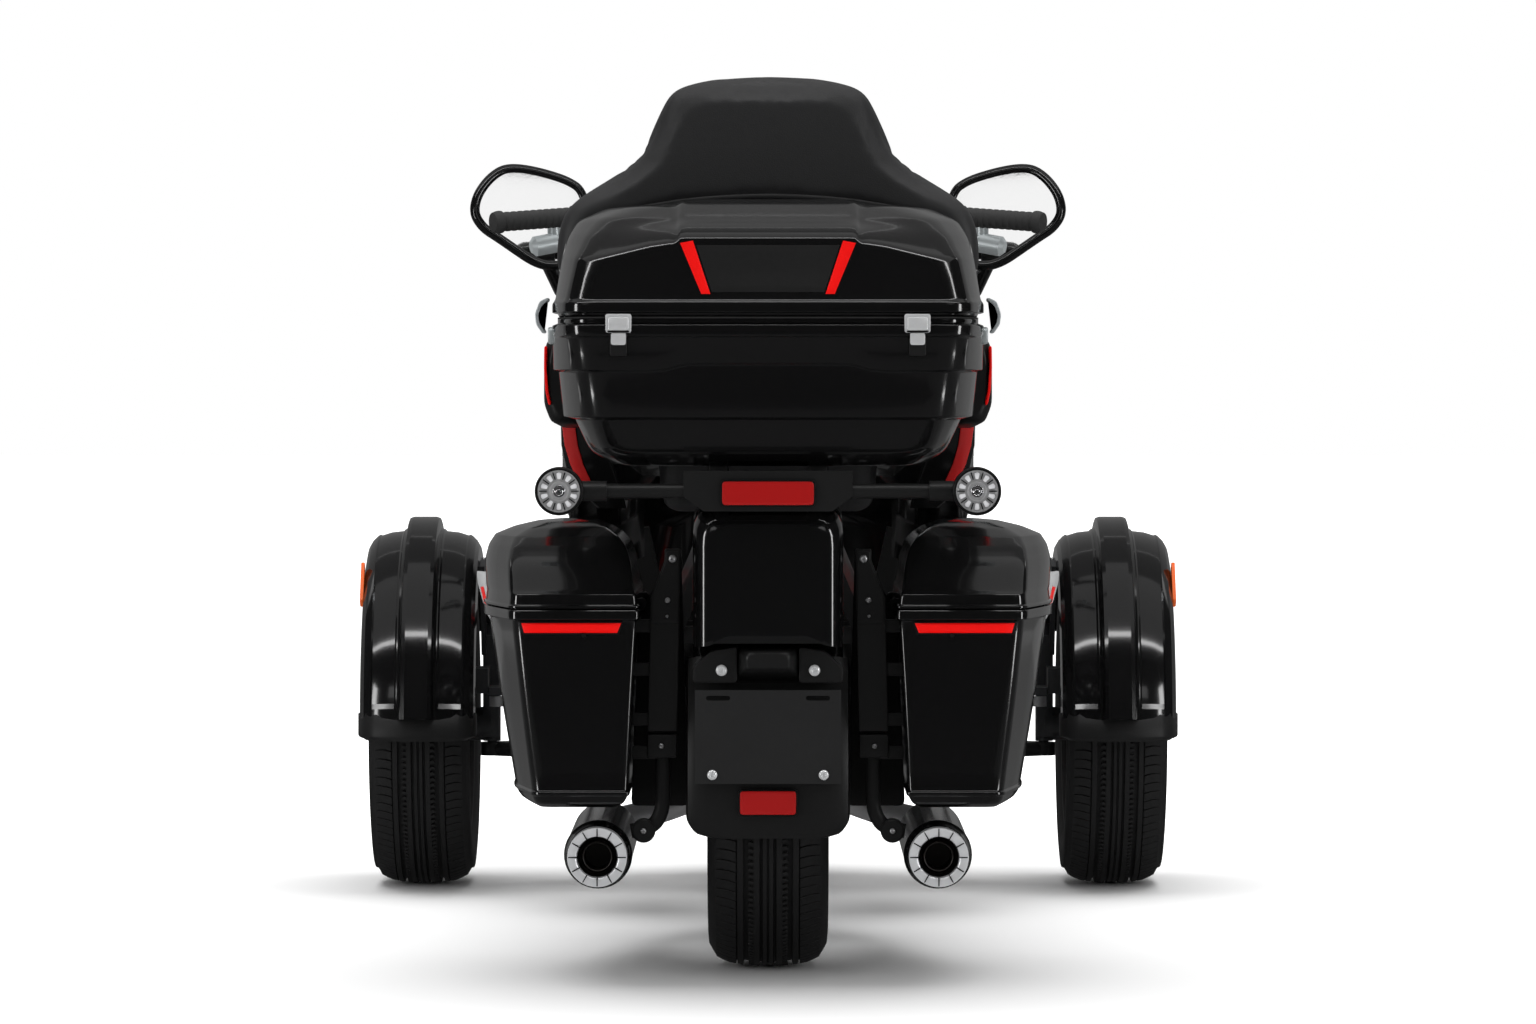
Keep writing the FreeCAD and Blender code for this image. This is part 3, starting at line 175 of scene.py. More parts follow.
def eased(points, reach, steps=3, closed=True, runs=()):
    """Outline or profile with its corners curved. A curve starts reach before its corner, and
    runs are the shares at which each straight gets points of its own."""
    points = [np.array(p, float) for p in points]
    count = len(points)
    reaches = list(reach) if hasattr(reach, "__len__") else [reach] * count
    arcs = []
    for i, p in enumerate(points):
        if not closed and i in (0, count - 1):
            arcs.append([p])
            continue
        before, after = points[i - 1] - p, points[(i + 1) % count] - p
        size_before, size_after = np.linalg.norm(before), np.linalg.norm(after)
        start = p + before * min(0.48, reaches[i] / max(size_before, 1e-9))
        end = p + after * min(0.48, reaches[i] / max(size_after, 1e-9))
        arc = []
        for k in range(steps + 1):
            t = k / steps
            arc.append(start * (1 - t) ** 2 + p * 2 * t * (1 - t) + end * t * t)
        arcs.append(arc)
    result = []
    for i, arc in enumerate(arcs):
        result += arc
        if closed or i < count - 1:
            following = arcs[(i + 1) % count][0]
            result += [arc[-1] + (following - arc[-1]) * share for share in runs]
    return result


def bent(points, reach, steps=3, runs=()):
    """Open line or profile with its corners curved."""
    return eased(points, reach, steps, closed=False, runs=runs)


def rectangle(u0, u1, v0, v1, reach, steps=3):
    """Outline of a rectangle with its corners curved."""
    return eased([(u0, v0), (u1, v0), (u1, v1), (u0, v1)], reach, steps)


def symmetric(half):
    """Closed ring from its right half, whose first and last points lie on the middle plane."""
    return [tuple(p) for p in half] + [(-p[0], *p[1:]) for p in half[-2:0:-1]]


def grown(outline, by):
    """Flat closed outline moved outwards by a distance, or inwards where it is negative."""
    points = [Vector(p[:2]) for p in outline]
    area = sum(a.x * b.y - b.x * a.y for a, b in zip(points, points[1:] + points[:1]))
    turn = 1 if area > 0 else -1
    result = []
    for i, p in enumerate(points):
        before = (p - points[i - 1])
        after = (points[(i + 1) % len(points)] - p)
        if before.length < 1e-9 or after.length < 1e-9:
            result.append(tuple(p))
            continue
        a, b = before.normalized(), after.normalized()
        normal = Vector((a.y + b.y, -a.x - b.x)) * turn
        if normal.length < 1e-6:
            result.append(tuple(p))
            continue
        normal.normalize()
        share = max(0.4, normal.dot(Vector((a.y, -a.x)) * turn))
        result.append(tuple(p + normal * by / share))
    return result


# ------------ shapes: (points, faces)
def joined(shapes):
    points, faces = [], []
    for some, quads in shapes:
        base = len(points)
        points += [tuple(p) for p in some]
        faces += [tuple(base + i for i in f) for f in quads]
    return points, faces


def mirrored(shape):
    points, faces = shape
    return [(-p[0], p[1], p[2]) for p in points], [tuple(reversed(f)) for f in faces]


def both(shape):
    return joined([shape, mirrored(shape)])


def sided(shape, side):
    return shape if side > 0 else mirrored(shape)


def placed(shape, matrix):
    points, faces = shape
    return [tuple(matrix @ Vector(p)) for p in points], faces


def loft(rings, first=True, last=True):
    """Walls between closed rings of equally many points. first and last close the ends, each
    through an inset ring that keeps the end flat."""
    rows = [[Vector(p) for p in ring] for ring in rings]
    count = len(rows[0])
    for wanted, index, place in ((first, 0, 0), (last, -1, len(rows) + 1)):
        if wanted:
            ring = rows[index]
            centre = sum(ring, Vector((0, 0, 0))) / count
            rows.insert(place, [centre + (p - centre) * 0.9 for p in ring])
    faces = []
    for r in range(len(rows) - 1):
        for i in range(count):
            j = (i + 1) % count
            faces.append((r * count + i, r * count + j, (r + 1) * count + j, (r + 1) * count + i))
    if first:
        faces.append(tuple(reversed(range(count))))
    if last:
        faces.append(tuple(range((len(rows) - 1) * count, len(rows) * count)))
    return [tuple(p) for row in rows for p in row], faces


def turned(profile, centre, axis=(1, 0, 0), steps=48, start=0.0, sweep=360.0, closed=False,
           bend=None):
    """Outline of (along, radius) turned about an axis. On a part turn of a closed outline the
    ends are capped. bend(index, along, radius, degrees) gives a changed (along, radius)."""
    along = Vector(axis).normalized()
    across = Vector((0, 1, 0)) if abs(along.y) < 0.9 else Vector((1, 0, 0))
    across = (across - along * across.dot(along)).normalized()
    upright = along.cross(across)
    centre = Vector(centre)
    whole = abs(sweep - 360.0) < 1e-6
    rings = []
    for k in range(steps if whole else steps + 1):
        degrees = start + sweep * k / steps
        a = math.radians(degrees)
        out = across * math.cos(a) + upright * math.sin(a)
        ring = []
        for i, (x, r) in enumerate(profile):
            if bend:
                x, r = bend(i, x, r, degrees)
            ring.append(tuple(centre + along * x + out * r))
        rings.append(ring)
    count = len(profile)
    faces = []
    spans = count if closed else count - 1
    for k in range(len(rings) if whole else len(rings) - 1):
        m = (k + 1) % len(rings)
        for i in range(spans):
            j = (i + 1) % count
            faces.append((k * count + i, k * count + j, m * count + j, m * count + i))
    if closed and not whole:
        faces.append(tuple(range(count)))
        faces.append(tuple(range((len(rings) - 1) * count, len(rings) * count)))
    return [p for ring in rings for p in ring], faces


def tube(path, radius, sides=14):
    """Round bar along a path of points, its ends closed."""
    path = [Vector(p) for p in path]
    radii = radius if hasattr(radius, "__len__") else [radius] * len(path)
    rings = []
    side = None
    for i, p in enumerate(path):
        tangent = (path[min(i + 1, len(path) - 1)] - path[max(i - 1, 0)]).normalized()
        if side is None:
            side = tangent.orthogonal().normalized()
        side = (side - tangent * side.dot(tangent)).normalized()
        other = tangent.cross(side)
        rings.append([p + (side * math.cos(a) + other * math.sin(a)) * radii[i]
                      for a in (2 * math.pi * k / sides for k in range(sides))])
    return loft(rings)


def bar(start, end, radius, edge=0.001, sides=24):
    """Round bar between two points, its rims chamfered by edge."""
    a, b = Vector(start), Vector(end)
    along = (b - a).normalized()
    path = [a, a + along * edge, b - along * edge, b]
    return tube(path, [radius - edge, radius, radius, radius - edge], sides)


def block(low, high, edge=0.002, steps=2):
    """Box with rounded edges."""
    bm = bmesh.new()
    bmesh.ops.create_cube(bm, size=1.0)
    low, high = Vector(low), Vector(high)
    size, centre = high - low, (low + high) / 2
    for v in bm.verts:
        v.co = Vector((v.co.x * size.x, v.co.y * size.y, v.co.z * size.z)) + centre
    bmesh.ops.bevel(bm, geom=bm.edges[:], offset=edge, segments=steps, profile=0.5,
                    affect="EDGES")
    shape = ([tuple(v.co) for v in bm.verts], [tuple(v.index for v in f.verts) for f in bm.faces])
    bm.free()
    return shape


PLANES = {"XZ": lambda u, v, d: (u, d, v), "YZ": lambda u, v, d: (d, u, v),
          "XY": lambda u, v, d: (u, v, d)}


def plate(outline, plane, low, high, edge=0.0015):
    """Flat outline given thickness from low to high, both its rims rounded."""
    place = PLANES[plane]
    rings = []
    for d, drawn in ((low, edge), (low + edge * 0.3, edge * 0.3), (low + edge, 0.0),
                     (high - edge, 0.0), (high - edge * 0.3, edge * 0.3), (high, edge)):
        rings.append([place(u, v, d) for u, v in grown(outline, -drawn)])
    return loft(rings)


def stacked(sections, plane="XZ", **ends):
    """Loft through outlines in a plane, each given with its distance along the normal."""
    place = PLANES[plane]
    return loft([[place(u, v, d) for u, v in outline] for d, outline in sections], **ends)


def patch(corners, surface, lift=0.0015, sink=0.002, across=6, up=8):
    """Thin panel laid on a surface. corners run round the panel as (u, v), and surface(u, v,
    lift) is the point that far above the surface."""
    a, b, c, d = (Vector(p) for p in corners)
    front, back = [], []
    for j in range(up + 1):
        t = j / up
        for i in range(across + 1):
            s = i / across
            u, v = (a * (1 - s) + b * s) * (1 - t) + (d * (1 - s) + c * s) * t
            rim = i in (0, across) or j in (0, up)
            front.append(surface(u, v, lift * (0.45 if rim else 1.0)))
            back.append(surface(u, v, -sink))
    wide = across + 1
    points = front + back
    shift = len(front)
    faces = []
    for j in range(up):
        for i in range(across):
            k = j * wide + i
            faces.append((k, k + 1, k + 1 + wide, k + wide))
            faces.append((shift + k, shift + k + wide, shift + k + 1 + wide, shift + k + 1))
    rim = ([i for i in range(wide)] + [j * wide + across for j in range(1, up + 1)]
           + [up * wide + i for i in range(across - 1, -1, -1)]
           + [j * wide for j in range(up - 1, 0, -1)])
    for k, m in zip(rim, rim[1:] + rim[:1]):
        faces.append((m, k, k + shift, m + shift))
    return points, faces


# ------------ pieces
def linked(name, data):
    """New object in the scene."""
    made = bpy.data.objects.new(name, data)
    bpy.context.scene.collection.objects.link(made)
    return made


def evaluated_mesh(thing):
    """Plain mesh of an object, its modifiers run."""
    graph = bpy.context.evaluated_depsgraph_get()
    return bpy.data.meshes.new_from_object(thing.evaluated_get(graph), depsgraph=graph)


def object_of(name, shape):
    mesh = bpy.data.meshes.new(name)
    mesh.from_pydata(shape[0], [], shape[1])
    bm = bmesh.new()
    bm.from_mesh(mesh)
    bmesh.ops.remove_doubles(bm, verts=bm.verts, dist=1e-5)
    bmesh.ops.dissolve_degenerate(bm, edges=bm.edges, dist=1e-6)
    bmesh.ops.recalc_face_normals(bm, faces=bm.faces)
    bm.to_mesh(mesh)
    bm.free()
    return linked(name, mesh)


def fitted(thing, finish_name, body, stands_for=(), slot=None, sharp=38.0):
    """Gives a piece its finish, smooth shading and the body that it rides on."""
    mesh = thing.data
    mesh.materials.clear()
    mesh.materials.append(finish(finish_name))
    mesh.shade_smooth()
    mesh.set_sharp_from_angle(angle=math.radians(sharp))
    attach(thing, body)
    slot or SLOT_OF[finish_name]
    if stands_for:
        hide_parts(*stands_for)
    return thing


def piece(name, shapes, finish_name, stands_for=(), body="chassis", slot=None, sharp=38.0):
    return fitted(object_of(name, joined(shapes)), finish_name, body, stands_for, slot, sharp)


def walled(thing, thickness):
    """Gives an open shell its wall, inwards."""
    wall = thing.modifiers.new("wall", "SOLIDIFY")
    wall.thickness = thickness
    wall.offset = -1.0
    return thing


def softened(name, node, finish_name, edge, body="chassis"):
    """Stands for a CAD node with the same shape, its facets merged and its edges broken."""
    mesh = NODES[node].data.copy()
    mesh.name = name
    bm = bmesh.new()
    bm.from_mesh(mesh)
    bmesh.ops.remove_doubles(bm, verts=bm.verts, dist=3e-5)
    bmesh.ops.dissolve_limit(bm, angle_limit=math.radians(3), verts=bm.verts, edges=bm.edges)
    bm.to_mesh(mesh)
    bm.free()
    copy = linked(name, mesh)
    fitted(copy, finish_name, body, (node,))
    if edge:
        rounding = copy.modifiers.new("edges", "BEVEL")
        rounding.width = edge
        rounding.segments = 2
        rounding.limit_method = "ANGLE"
        rounding.angle_limit = math.radians(40)
    return copy


def caster(target, direction):
    """Surface of a piece as seen along a direction: a function of the two other coordinates
    and a lift above the surface, towards the viewer."""
    graph = bpy.context.evaluated_depsgraph_get()
    tree = BVHTree.FromObject(target, graph)
    ray = Vector(direction).normalized()
    axis = max(range(3), key=lambda i: abs(ray[i]))
    others = [i for i in range(3) if i != axis]
    clear_of_part = 2.0

    def surface(u, v, lift):
        start = Vector((0, 0, 0))
        start[others[0]], start[others[1]] = u, v
        start[axis] = -ray[axis] * clear_of_part
        hit = tree.ray_cast(start, ray)[0]
        if hit is None:
            raise RuntimeError(f"nothing of {target.name} at {u:.3f}, {v:.3f}")
        return tuple(hit - ray * lift)
    return surface


# ------------ geometry nodes
def new_tree(name, inputs):
    tree = bpy.data.node_groups.new(name, "GeometryNodeTree")
    tree.interface.new_socket("Geometry", in_out="INPUT", socket_type="NodeSocketGeometry")
    for label, kind in inputs:
        tree.interface.new_socket(label, in_out="INPUT", socket_type=kind)
    tree.interface.new_socket("Geometry", in_out="OUTPUT", socket_type="NodeSocketGeometry")
    return tree


def node_of(tree, kind, **values):
    made = tree.nodes.new(kind)
    for key, value in values.items():
        setattr(made, key, value)
    return made


def finished_tree(tree, given, copies):
    """Ends a tree in Realize Instances and Set Material."""
    realized = node_of(tree, "GeometryNodeRealizeInstances")
    painted = node_of(tree, "GeometryNodeSetMaterial")
    out = node_of(tree, "NodeGroupOutput")
    wired(tree, (copies, "Instances", realized, "Geometry"),
          (realized, "Geometry", painted, "Geometry"), (given, "Material", painted, "Material"),
          (painted, "Geometry", out, "Geometry"))


def kept(build):
    """Makes a node group the first time it is asked for, under its function's name."""
    def get():
        if build.__name__ not in bpy.data.node_groups:
            build(build.__name__)
        return bpy.data.node_groups[build.__name__]
    return get


def wired(tree, *links):
    """Links from a node's output to a node's input, each output and input by its name."""
    for source, leaves, target, enters in links:
        tree.links.new(source.outputs[leaves], target.inputs[enters])


@kept
def copies_round_axis(name):
    """Copies of an item set round an axis, evenly."""
    tree = new_tree(name, (("Item", "NodeSocketObject"), ("Count", "NodeSocketInt"),
                           ("Centre", "NodeSocketVector"), ("Axis", "NodeSocketVector"),
                           ("Material", "NodeSocketMaterial")))
    given = node_of(tree, "NodeGroupInput")
    points = node_of(tree, "GeometryNodePoints")
    index = node_of(tree, "GeometryNodeInputIndex")
    share = node_of(tree, "ShaderNodeMath", operation="DIVIDE")
    angle = node_of(tree, "ShaderNodeMath", operation="MULTIPLY")
    turn = node_of(tree, "FunctionNodeAxisAngleToRotation")
    item = node_of(tree, "GeometryNodeObjectInfo", transform_space="ORIGINAL")
    copies = node_of(tree, "GeometryNodeInstanceOnPoints")
    angle.inputs[1].default_value = 2 * math.pi
    wired(tree, (given, "Count", points, "Count"), (given, "Centre", points, "Position"),
          (index, "Index", share, 0), (given, "Count", share, 1), (share, 0, angle, 0),
          (given, "Axis", turn, "Axis"), (angle, 0, turn, "Angle"),
          (given, "Item", item, "Object"), (points, 0, copies, "Points"),
          (item, "Geometry", copies, "Instance"), (turn, "Rotation", copies, "Rotation"))
    finished_tree(tree, given, copies)


@kept
def copies_along_path(name):
    """Copies of an item set along a path, their X along it and their Z towards Up."""
    tree = new_tree(name, (("Item", "NodeSocketObject"), ("Count", "NodeSocketInt"),
                           ("Up", "NodeSocketVector"), ("Material", "NodeSocketMaterial")))
    given = node_of(tree, "NodeGroupInput")
    curve = node_of(tree, "GeometryNodeMeshToCurve")
    evenly = node_of(tree, "GeometryNodeResampleCurve")
    tangent = node_of(tree, "GeometryNodeInputTangent")
    forward = node_of(tree, "FunctionNodeAlignRotationToVector", axis="X")
    upright = node_of(tree, "FunctionNodeAlignRotationToVector", axis="Z", pivot_axis="X")
    item = node_of(tree, "GeometryNodeObjectInfo", transform_space="ORIGINAL")
    copies = node_of(tree, "GeometryNodeInstanceOnPoints")
    wired(tree, (given, "Geometry", curve, 0), (curve, 0, evenly, "Curve"),
          (given, "Count", evenly, "Count"), (tangent, 0, forward, "Vector"),
          (forward, "Rotation", upright, "Rotation"), (given, "Up", upright, "Vector"),
          (given, "Item", item, "Object"), (evenly, "Curve", copies, "Points"),
          (item, "Geometry", copies, "Instance"), (upright, "Rotation", copies, "Rotation"))
    finished_tree(tree, given, copies)


def copied(name, host_shape, tree, item_shape, finish_name, body, values):
    """Runs a tree of copies on a host and keeps its result as a plain mesh."""
    item = object_of(name + "_item", item_shape)
    host = linked(name + "_host", bpy.data.meshes.new(name + "_host"))
    host.data.from_pydata(*host_shape)
    modifier = host.modifiers.new("copies", "NODES")
    modifier.node_group = tree
    given = dict(values, Item=item, Material=finish(finish_name))
    for socket in tree.interface.items_tree:
        if socket.in_out == "INPUT" and socket.name in given:
            modifier[socket.identifier] = given[socket.name]
    mesh = evaluated_mesh(host)
    mesh.name = name
    result = linked(name, mesh)
    bpy.data.objects.remove(host)
    bpy.data.objects.remove(item)
    if not mesh.polygons:
        raise RuntimeError(f"{name} came out empty")
    return fitted(result, finish_name, body)


def ring_copies(name, item_shape, count, centre, axis, finish_name, body="chassis"):
    """item_shape is drawn about the axis's own centre, at the first copy's place."""
    values = {"Count": count, "Centre": list(centre), "Axis": list(axis)}
    return copied(name, ([(0, 0, 0)], [], []), copies_round_axis(), item_shape, finish_name, body,
                  values)


def path_copies(name, item_shape, paths, count, up, finish_name, body="chassis"):
    """Copies along each path of points, as one piece."""
    points, edges = [], []
    for path in paths:
        base = len(points)
        points += [tuple(p) for p in path]
        edges += [(base + i, base + i + 1) for i in range(len(path) - 1)]
    values = {"Count": count, "Up": list(up)}
    return copied(name, (points, edges, []), copies_along_path(), item_shape, finish_name, body,
                  values)


# ------------ shader groups
def shader_group(name, inputs, outputs):
    tree = bpy.data.node_groups.new(name, "ShaderNodeTree")
    for label, kind, value in inputs:
        socket = tree.interface.new_socket(label, in_out="INPUT", socket_type=kind)
        socket.default_value = value
    for label, kind in outputs:
        tree.interface.new_socket(label, in_out="OUTPUT", socket_type=kind)
    return tree, node_of(tree, "NodeGroupInput"), node_of(tree, "NodeGroupOutput")


def maths(tree, operation, *values):
    """Math node; each operand is a socket or a number."""
    made = node_of(tree, "ShaderNodeMath", operation=operation)
    for i, value in enumerate(values):
        if isinstance(value, (int, float)):
            made.inputs[i].default_value = value
        else:
            tree.links.new(value, made.inputs[i])
    return made.outputs[0]


def noise(tree, vector, scale):
    made = node_of(tree, "ShaderNodeTexNoise")
    made.inputs["Detail"].default_value = 3.0
    tree.links.new(vector, made.inputs["Vector"])
    tree.links.new(scale, made.inputs["Scale"])
    return made.outputs[0]


@kept
def surface_grain(name):
    """Moulded or leather grain: cells with soft borders over fine noise."""
    tree, given, out = shader_group(
        name, (("Scale", "NodeSocketFloat", 400.0), ("Cells", "NodeSocketFloat", 0.5)),
        (("Height", "NodeSocketFloat"),))
    place = node_of(tree, "ShaderNodeTexCoord").outputs["Object"]
    cells = node_of(tree, "ShaderNodeTexVoronoi", feature="SMOOTH_F1")
    tree.links.new(place, cells.inputs["Vector"])
    tree.links.new(given.outputs["Scale"], cells.inputs["Scale"])
    fine = noise(tree, place, maths(tree, "MULTIPLY", given.outputs["Scale"], 1.7))
    cell_part = maths(tree, "MULTIPLY", cells.outputs["Distance"], given.outputs["Cells"])
    rest = maths(tree, "SUBTRACT", 1.0, given.outputs["Cells"])
    height = maths(tree, "MULTIPLY_ADD", fine, rest, cell_part)
    tree.links.new(height, out.inputs["Height"])


@kept
def colour_drift(name):
    """Slow change of colour over a surface, with a film of dust on what faces up."""
    tree, given, out = shader_group(
        name, (("Colour", "NodeSocketColor", (0.5, 0.5, 0.5, 1.0)),
               ("Amount", "NodeSocketFloat", 0.1), ("Scale", "NodeSocketFloat", 9.0),
               ("Dust", "NodeSocketFloat", 0.0)),
        (("Colour", "NodeSocketColor"), ("Film", "NodeSocketFloat")))
    place = node_of(tree, "ShaderNodeTexCoord").outputs["Object"]
    slow = noise(tree, place, given.outputs["Scale"])
    fine = noise(tree, place, maths(tree, "MULTIPLY", given.outputs["Scale"], 14.0))
    tone = maths(tree, "SUBTRACT", maths(tree, "ADD", slow, fine), 1.0)
    value = maths(tree, "MULTIPLY_ADD", tone, given.outputs["Amount"], 1.0)
    shade = node_of(tree, "ShaderNodeHueSaturation")
    tree.links.new(given.outputs["Colour"], shade.inputs["Color"])
    tree.links.new(value, shade.inputs["Value"])
    split = node_of(tree, "ShaderNodeSeparateXYZ")
    tree.links.new(node_of(tree, "ShaderNodeNewGeometry").outputs["Normal"], split.inputs[0])
    facing_up = maths(tree, "MAXIMUM", split.outputs["Z"], 0.0)
    film = maths(tree, "MULTIPLY", maths(tree, "MULTIPLY", facing_up, fine),
                 given.outputs["Dust"])
    mix = node_of(tree, "ShaderNodeMix", data_type="RGBA")
    tree.links.new(film, mix.inputs[0])
    tree.links.new(shade.outputs[0], mix.inputs[6])
    mix.inputs[7].default_value = (0.16, 0.15, 0.14, 1.0)
    tree.links.new(mix.outputs[2], out.inputs["Colour"])
    tree.links.new(maths(tree, "MULTIPLY_ADD", slow, 0.5, film), out.inputs["Film"])


@kept
def prism_cells(name):
    """Small pyramids of a reflector or lamp lens, in rows."""
    tree, given, out = shader_group(name, (("Scale", "NodeSocketFloat", 300.0),),
                                    (("Height", "NodeSocketFloat"),))
    split = node_of(tree, "ShaderNodeSeparateXYZ")
    tree.links.new(node_of(tree, "ShaderNodeTexCoord").outputs["Object"], split.inputs[0])
    waves = []
    for i in range(3):
        scaled = maths(tree, "MULTIPLY", split.outputs[i], given.outputs["Scale"])
        waves.append(maths(tree, "PINGPONG", scaled, 1.0))
    total = maths(tree, "ADD", maths(tree, "ADD", waves[0], waves[1]), waves[2])
    tree.links.new(total, out.inputs["Height"])


# ------------ finishes
# columns: record slot, colour (a setting's name or RGB), roughness, metallic, coat, drift,
# dust, grain scale, grain cells, grain depth in metres
FINISHES = {
    "gloss_paint": ("gloss_black", "gloss", 0.13, 0.0, 0.35, 0.1, 0.01, 260, 0.0, 0.00002),
    "satin_plastic": ("satin_black", "satin", 0.42, 0.0, 0.0, 0.14, 0.05, 900, 0.6, 0.0001),
    "frame_paint": ("frame_black", "satin", 0.33, 0.0, 0.1, 0.14, 0.08, 320, 0.1, 0.00005),
    "cast_alloy": ("engine_grey", (0.075, 0.077, 0.08), 0.45, 0.75, 0.0, 0.25, 0.12, 420, 0.4,
                   0.00016),
    "bare_steel": ("bright_steel", (0.68, 0.68, 0.69), 0.38, 0.85, 0.0, 0.1, 0.04, 700, 0.1,
                   0.00003),
    "chrome": ("chrome", (0.72, 0.73, 0.75), 0.07, 1.0, 0.0, 0.04, 0.0, 300, 0.0, 0.00001),
    "satin_chrome": ("chrome", (0.52, 0.56, 0.57), 0.34, 0.45, 0.0, 0.06, 0.0, 500, 0.0, 0.00002),
    "wheel_paint": ("wheel_alloy", (0.035, 0.036, 0.038), 0.3, 0.6, 0.3, 0.12, 0.08, 300, 0.1,
                    0.00003),
    "tyre_rubber": ("tyre", "rubber", 0.72, 0.0, 0.0, 0.3, 0.14, 500, 0.4, 0.00016),
    "grip_rubber": ("grip_rubber", (0.012, 0.012, 0.012), 0.6, 0.0, 0.0, 0.15, 0.03, 700, 0.5,
                    0.00012),
    "vinyl": ("seat_vinyl", "vinyl", 0.52, 0.0, 0.0, 0.1, 0.05, 620, 0.85, 0.00022),
    "thread": ("seat_vinyl", (0.05, 0.05, 0.052), 0.8, 0.0, 0.0, 0.15, 0.0, 1500, 0.5, 0.0001),
    "plate_coat": ("plate_grey", "plate", 0.5, 0.0, 0.0, 0.12, 0.05, 800, 0.5, 0.00008),
    "stripe_paint": ("gloss_black", "stripe", 0.15, 0.0, 0.5, 0.08, 0.0, 260, 0.0, 0.00002),
    "lamp_shell": ("satin_black", (0.006, 0.006, 0.006), 0.3, 0.0, 0.0, 0.1, 0.02, 600, 0.2,
                   0.00003),
    "lamp_mirror": ("clear_lens", (0.8, 0.8, 0.82), 0.12, 1.0, 0.0, 0.05, 0.0, 200, 0.0,
                    0.00002),
    # These two chrome finishes are partly white paint: a painted reflection standing for the white
    # their chrome reflects.
    "chrome_face": ("chrome", (0.92, 0.93, 0.94), 0.26, 0.5, 0.0, 0.04, 0.0, 300, 0.0, 0.00001),
    "tip_face": ("chrome", (0.92, 0.93, 0.95), 0.28, 0.45, 0.0, 0.06, 0.0, 500, 0.0, 0.00001),
    "burnt_steel": ("chrome", (0.022, 0.019, 0.016), 0.45, 0.6, 0.0, 0.25, 0.1, 500, 0.3, 0.00005),
    "lamp_grey": ("clear_lens", (0.42, 0.42, 0.425), 0.3, 0.2, 0.0, 0.08, 0.0, 900, 0.5, 0.0001),
    "lamp_white": ("clear_lens", (0.86, 0.86, 0.88), 0.35, 0.0, 0.0, 0.03, 0.0, 900, 0.0,
                   0.00002),
    # Near-black paint put in holes, slots, gaps and a keyhole: painted shade standing for the shade
    # inside them.
    "dark_recess": ("satin_black", (0.003, 0.003, 0.003), 0.7, 0.0, 0.0, 0.2, 0.0, 500, 0.3,
                    0.00005),
    "mirror_face": ("mirror_glass", (0.9, 0.9, 0.9), 0.03, 1.0, 0.0, 0.02, 0.0, 100, 0.0,
                    0.000005),
}
# columns: record slot, colour, roughness, transmission, prism scale, prism depth
LENSES = {
    "red_lens": ("red_lens", "red_lens", 0.22, 0.0, 420, 0.0006),
    "red_strip": ("red_lens", "red_strip", 0.3, 0.0, 900, 0.0001),
    "amber_lens": ("amber_lens", "amber_lens", 0.25, 0.0, 420, 0.0005),
    "clear_lens": ("clear_lens", (0.93, 0.94, 0.95), 0.03, 0.94, 300, 0.0002),
    "tinted_screen": ("screen", (0.62, 0.64, 0.66), 0.02, 0.9, 5, 0.0),
}
SLOT_OF = {name: row[0] for name, row in {**FINISHES, **LENSES}.items()}


def colour_of(value):
    rgb = getattr(settings("trike_colours"), value) if isinstance(value, str) else value
    return (*rgb, 1.0)


def filled(node, values):
    """Sets a node's inputs."""
    for key, value in values.items():
        node.inputs[key].default_value = value
    return node


def group_node(tree, group, values):
    return filled(node_of(tree, "ShaderNodeGroup", node_tree=group), values)


def bumped(tree, shader, height, depth):
    bump = filled(node_of(tree, "ShaderNodeBump"), {"Distance": depth, "Strength": 1.0})
    tree.links.new(height, bump.inputs["Height"])
    tree.links.new(bump.outputs["Normal"], shader.inputs["Normal"])


def finish(name):
    """Material of that name, made the first time it is asked for."""
    if name in bpy.data.materials:
        return bpy.data.materials[name]
    material = bpy.data.materials.new(name)
    material.use_nodes = True
    tree = material.node_tree
    shader = tree.nodes["Principled BSDF"]
    if name in LENSES:
        _, rgb, rough, clear, scale, depth = LENSES[name]
        drift = group_node(tree, colour_drift(), {"Colour": colour_of(rgb), "Amount": 0.06})
        tree.links.new(drift.outputs["Colour"], shader.inputs["Base Color"])
        filled(shader, {"Roughness": rough, "Transmission Weight": clear, "IOR": 1.49})
        if not clear:
            shader.inputs["Specular IOR Level"].default_value = 0.12
        if depth:
            prisms = group_node(tree, prism_cells(), {"Scale": scale})
            bumped(tree, shader, prisms.outputs["Height"], depth)
        return material
    _, rgb, rough, metal, coat, drift_amount, dust, scale, cells, depth = FINISHES[name]
    drift = group_node(tree, colour_drift(), {"Colour": colour_of(rgb), "Amount": drift_amount,
                                             "Dust": dust})
    tree.links.new(drift.outputs["Colour"], shader.inputs["Base Color"])
    film = maths(tree, "MULTIPLY_ADD", drift.outputs["Film"], 0.22 * rough, rough * 0.89)
    tree.links.new(film, shader.inputs["Roughness"])
    filled(shader, {"Metallic": metal, "Coat Weight": coat, "Coat Roughness": 0.05,
                    "Specular IOR Level": 0.5 if metal or rough < 0.2 else 0.28})
    grain = group_node(tree, surface_grain(), {"Scale": scale, "Cells": cells})
    bumped(tree, shader, grain.outputs["Height"], depth)
    return material


# ------------ operators
PARTS = []


def part(label):
    """Makes a function into the operator that builds one piece or group of like pieces."""
    def wrap(build):
        def execute(self, context):
            build()
            return {"FINISHED"}
        made = type(f"TRIKE_OT_{build.__name__}", (bpy.types.Operator,), {
            "__doc__": build.__doc__, "bl_idname": f"trike.{build.__name__}",
            "bl_label": label, "bl_options": {"REGISTER", "UNDO"}, "execute": execute})
        PARTS.append(made)
        return build
    return wrap


